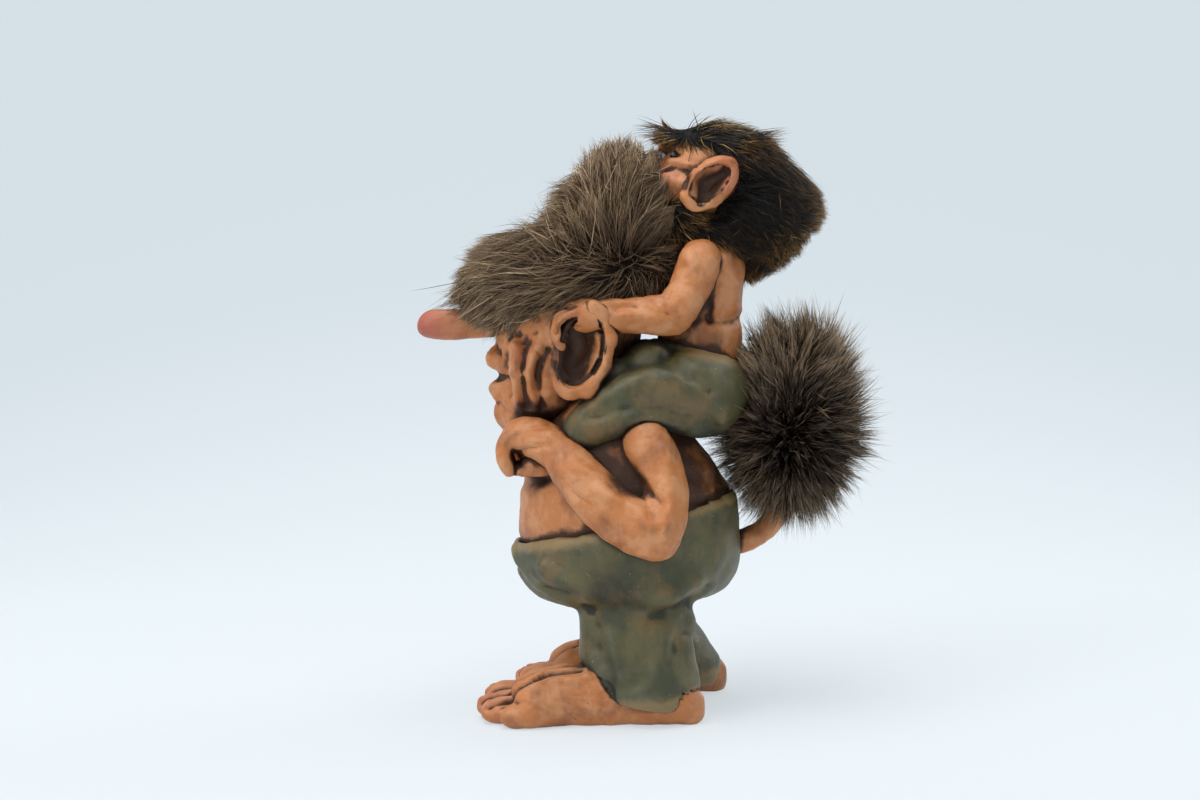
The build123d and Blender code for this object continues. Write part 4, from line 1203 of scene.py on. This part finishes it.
@dataclass
class Rider:
    """The castings of the small troll, with the strokes that model each of them."""

    skin: bpy.types.Material
    cloth: bpy.types.Material
    glass: bpy.types.Material

    def cloth_rim(self, at: np.ndarray) -> np.ndarray:
        """The worn paint on the waistband."""
        waist = 148 - 0.249 * (at[:, 1] - 19.4)
        return share_between(at[:, 2] - waist, -6, -1.5) * 0.85

    def castings(self) -> list[Casting]:
        """Every casting of the small troll."""
        back = (lines(View.SIDE, 3.6, -1.8, ((20, 162), (27, 159), (37, 160)), ((12, 178), (20, 170), (24, 160)))
                + lines(View.SIDE, 4.0, 1.4, ((30, 184), (33, 174), (34, 165)))
                + lines(View.FRONT, 3.6, -2.0, ((0, 196), (0, 170), (0, 148)), side=1, both=False)
                + lines(View.FRONT, 5.0, 1.4, ((9, 186), (12, 176)), side=1))
        seat = (lines(View.SIDE, 5.0, -2.0, ((-24, 122), (-6, 128), (10, 124), (24, 118)), ((4, 144), (14, 140), (22, 134)))
                + lines(View.SIDE, 6.0, 1.8, ((-18, 132), (-2, 138), (8, 140)), ((10, 118), (24, 116), (32, 124))))
        arm = (lines(View.SIDE, 2.6, -1.1, ((2, 168), (8, 162), (12, 158)), ((-6, 165), (-16, 166.5), (-24, 165)))
               + lines(View.SIDE, 1.8, -1.3, ((-30, 166), (-35, 164), (-39, 160)), ((-30, 162), (-34, 160), (-37, 155)),
                       ((-30, 158), (-34, 156), (-35, 152)))
               + lines(View.SIDE, 4.0, 1.2, ((14, 186), (17, 176)), ((2, 160), (-12, 162))))
        ear = (lines(View.SIDE, 3.6, -2.0, ((20, 208), (25, 215), (29, 219)))
               + lines(View.SIDE, 2.2, 0.7, ((14, 204), (26, 205), (34, 214), (33, 223), (24, 225)))
               + lines(View.SIDE, 2.4, -2.4, ((12, 212), (13, 219), (18, 224))))
        face = (lines(View.SIDE, 2.2, -1.3, ((3, 226), (9, 228), (15, 224)), ((5, 221), (10, 221), (15, 218)))
                + lines(View.SIDE, 3.2, 1.5, ((9, 225), (14, 223)), ((8, 215), (14, 214)), ((6, 231), (14, 231))))
        knuckles = ((35, -31, 163, 7, 0.35), (-35, -31, 163, 7, 0.35))
        # The armpits, under, hollows and foot spots are painted shade under and between parts; knuckles and lobes are
        # blush.
        armpits = ((18, 18, 168, 11, 0.8), (-18, 18, 168, 11, 0.8), (0, 2, 160, 12, 0.8), (16, 26, 152, 8, 0.5),
                   (-16, 26, 152, 8, 0.5))
        under = tuple((side * x, y, z, radius, 0.85) for side in (1, -1)
                      for x, y, z, radius in ((33, -12, 118, 11), (31, 6, 114, 12), (22, 24, 112, 12), (18, -2, 149, 12)))
        hollows = ((22, 23, 214, 8, 1.0), (-22, 23, 214, 8, 1.0), (20, 12, 216, 7, 0.8), (-20, 12, 216, 7, 0.8))
        lobes = ((22, 30, 218, 10, 0.55), (-22, 30, 218, 10, 0.55))
        small = ((4, 0.45, (1, 1, 1), False), (1.7, 0.2, (1, 1, 1), False))
        return [
            Casting("rider_torso", self.skin, "skin", 0.95, strokes=back, shade_spots=armpits),
            Casting("rider_trousers", self.cloth, "trouser_paint", 1.1, strokes=seat, shade_spots=under, rim=self.cloth_rim,
                    padding=((0, 5, 141, 11), (12, 3, 141.5, 11), (21, -2, 141, 11), (24, -14, 137, 9)),
                    lumps=((18, 1.5, (1, 0.8, 1.3), False), (7, 0.5, (1, 1, 1), False), (2.6, 0.12, (1, 1, 1), False))),
            Casting("rider_head", self.skin, "skin", 0.7, strokes=face, lumps=small, blushes=((12, 6, 218, 10, 0.5),)),
            Casting("rider_nose", self.skin, "skin", 0.65, lumps=small, tuck=(((0, -2, 240), 16, (0, 8, -6)),)),
            Casting("rider_left_ear", self.skin, "skin", 0.6, strokes=ear, lumps=small, shade_spots=hollows, blushes=lobes),
            Casting("rider_right_ear", self.skin, "skin", 0.6, strokes=ear, lumps=small, shade_spots=hollows, blushes=lobes),
            Casting("rider_left_arm", self.skin, "skin", 0.7, strokes=arm, lumps=small, blushes=knuckles),
            Casting("rider_right_arm", self.skin, "skin", 0.7, strokes=arm, lumps=small, blushes=knuckles),
            Casting("rider_left_foot", self.skin, "skin", 0.5, lumps=small, shade_spots=((24, -52, 102, 9, 0.7),)),
            Casting("rider_right_foot", self.skin, "skin", 0.5, lumps=small, shade_spots=((-24, -52, 102, 9, 0.7),)),
            Casting("rider_left_eye", self.glass, "eye_glass", 0.25, lumps=()),
            Casting("rider_right_eye", self.glass, "eye_glass", 0.25, lumps=()),
        ]


def dress_hidden(frame: dict) -> None:
    """Gives the dowels and the wire, which stay as they are, their wood and steel."""
    wood = PlainFinish("dowel_beech", linear(196, 160, 112), linear(160, 122, 80), 0.6, stretch=(1, 1, 0.1)).make()
    steel = PlainFinish("spring_steel", linear(150, 150, 152), linear(110, 110, 112), 0.35, 1.0).make()
    for node in ("neck_dowel", "rider_seat_dowel", "rider_neck_dowel", "tail_wire"):
        mesh = frame["nodes"][node].data
        mesh.materials.clear()
        mesh.materials.append(steel if node == "tail_wire" else wood)


def main() -> None:
    """Builds the figure round the frame and sets it on its stage."""
    logging.basicConfig(level=logging.INFO, format="%(message)s")
    noise.seed_set(NOISE_SEED)
    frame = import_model()
    bpy.context.scene.view_settings.view_transform = "Standard"
    skin = SkinFinish().make()
    cloth = TrouserFinish().make()
    glass = PlainFinish("dark_glass", linear(26, 28, 36), linear(14, 15, 20), 0.12, clear=1.0).make()
    grey = FurFinish("grey_fur", linear(38, 27, 19), linear(102, 78, 56), linear(168, 140, 107), linear(214, 188, 150), 0.40)
    black = FurFinish("black_fur", linear(15, 12, 10), linear(30, 22, 17), linear(178, 130, 68), linear(206, 164, 98), 0.58, 0.45)
    tail = FurFinish("tail_fur", linear(16, 12, 10), linear(52, 39, 30), linear(164, 140, 112), linear(190, 162, 124), 0.50, 0.36)
    castings = BigTroll(skin, cloth, glass).castings() + Rider(skin, cloth, glass).castings()
    for casting in castings:
        casting.build(frame)
    Shadows(castings).paint_shade()
    Furs(grey.make(), black.make(), tail.make()).build(frame)
    dress_hidden(frame)
    Studio().build()
    deselect()


if __name__ == "__main__":
    main()
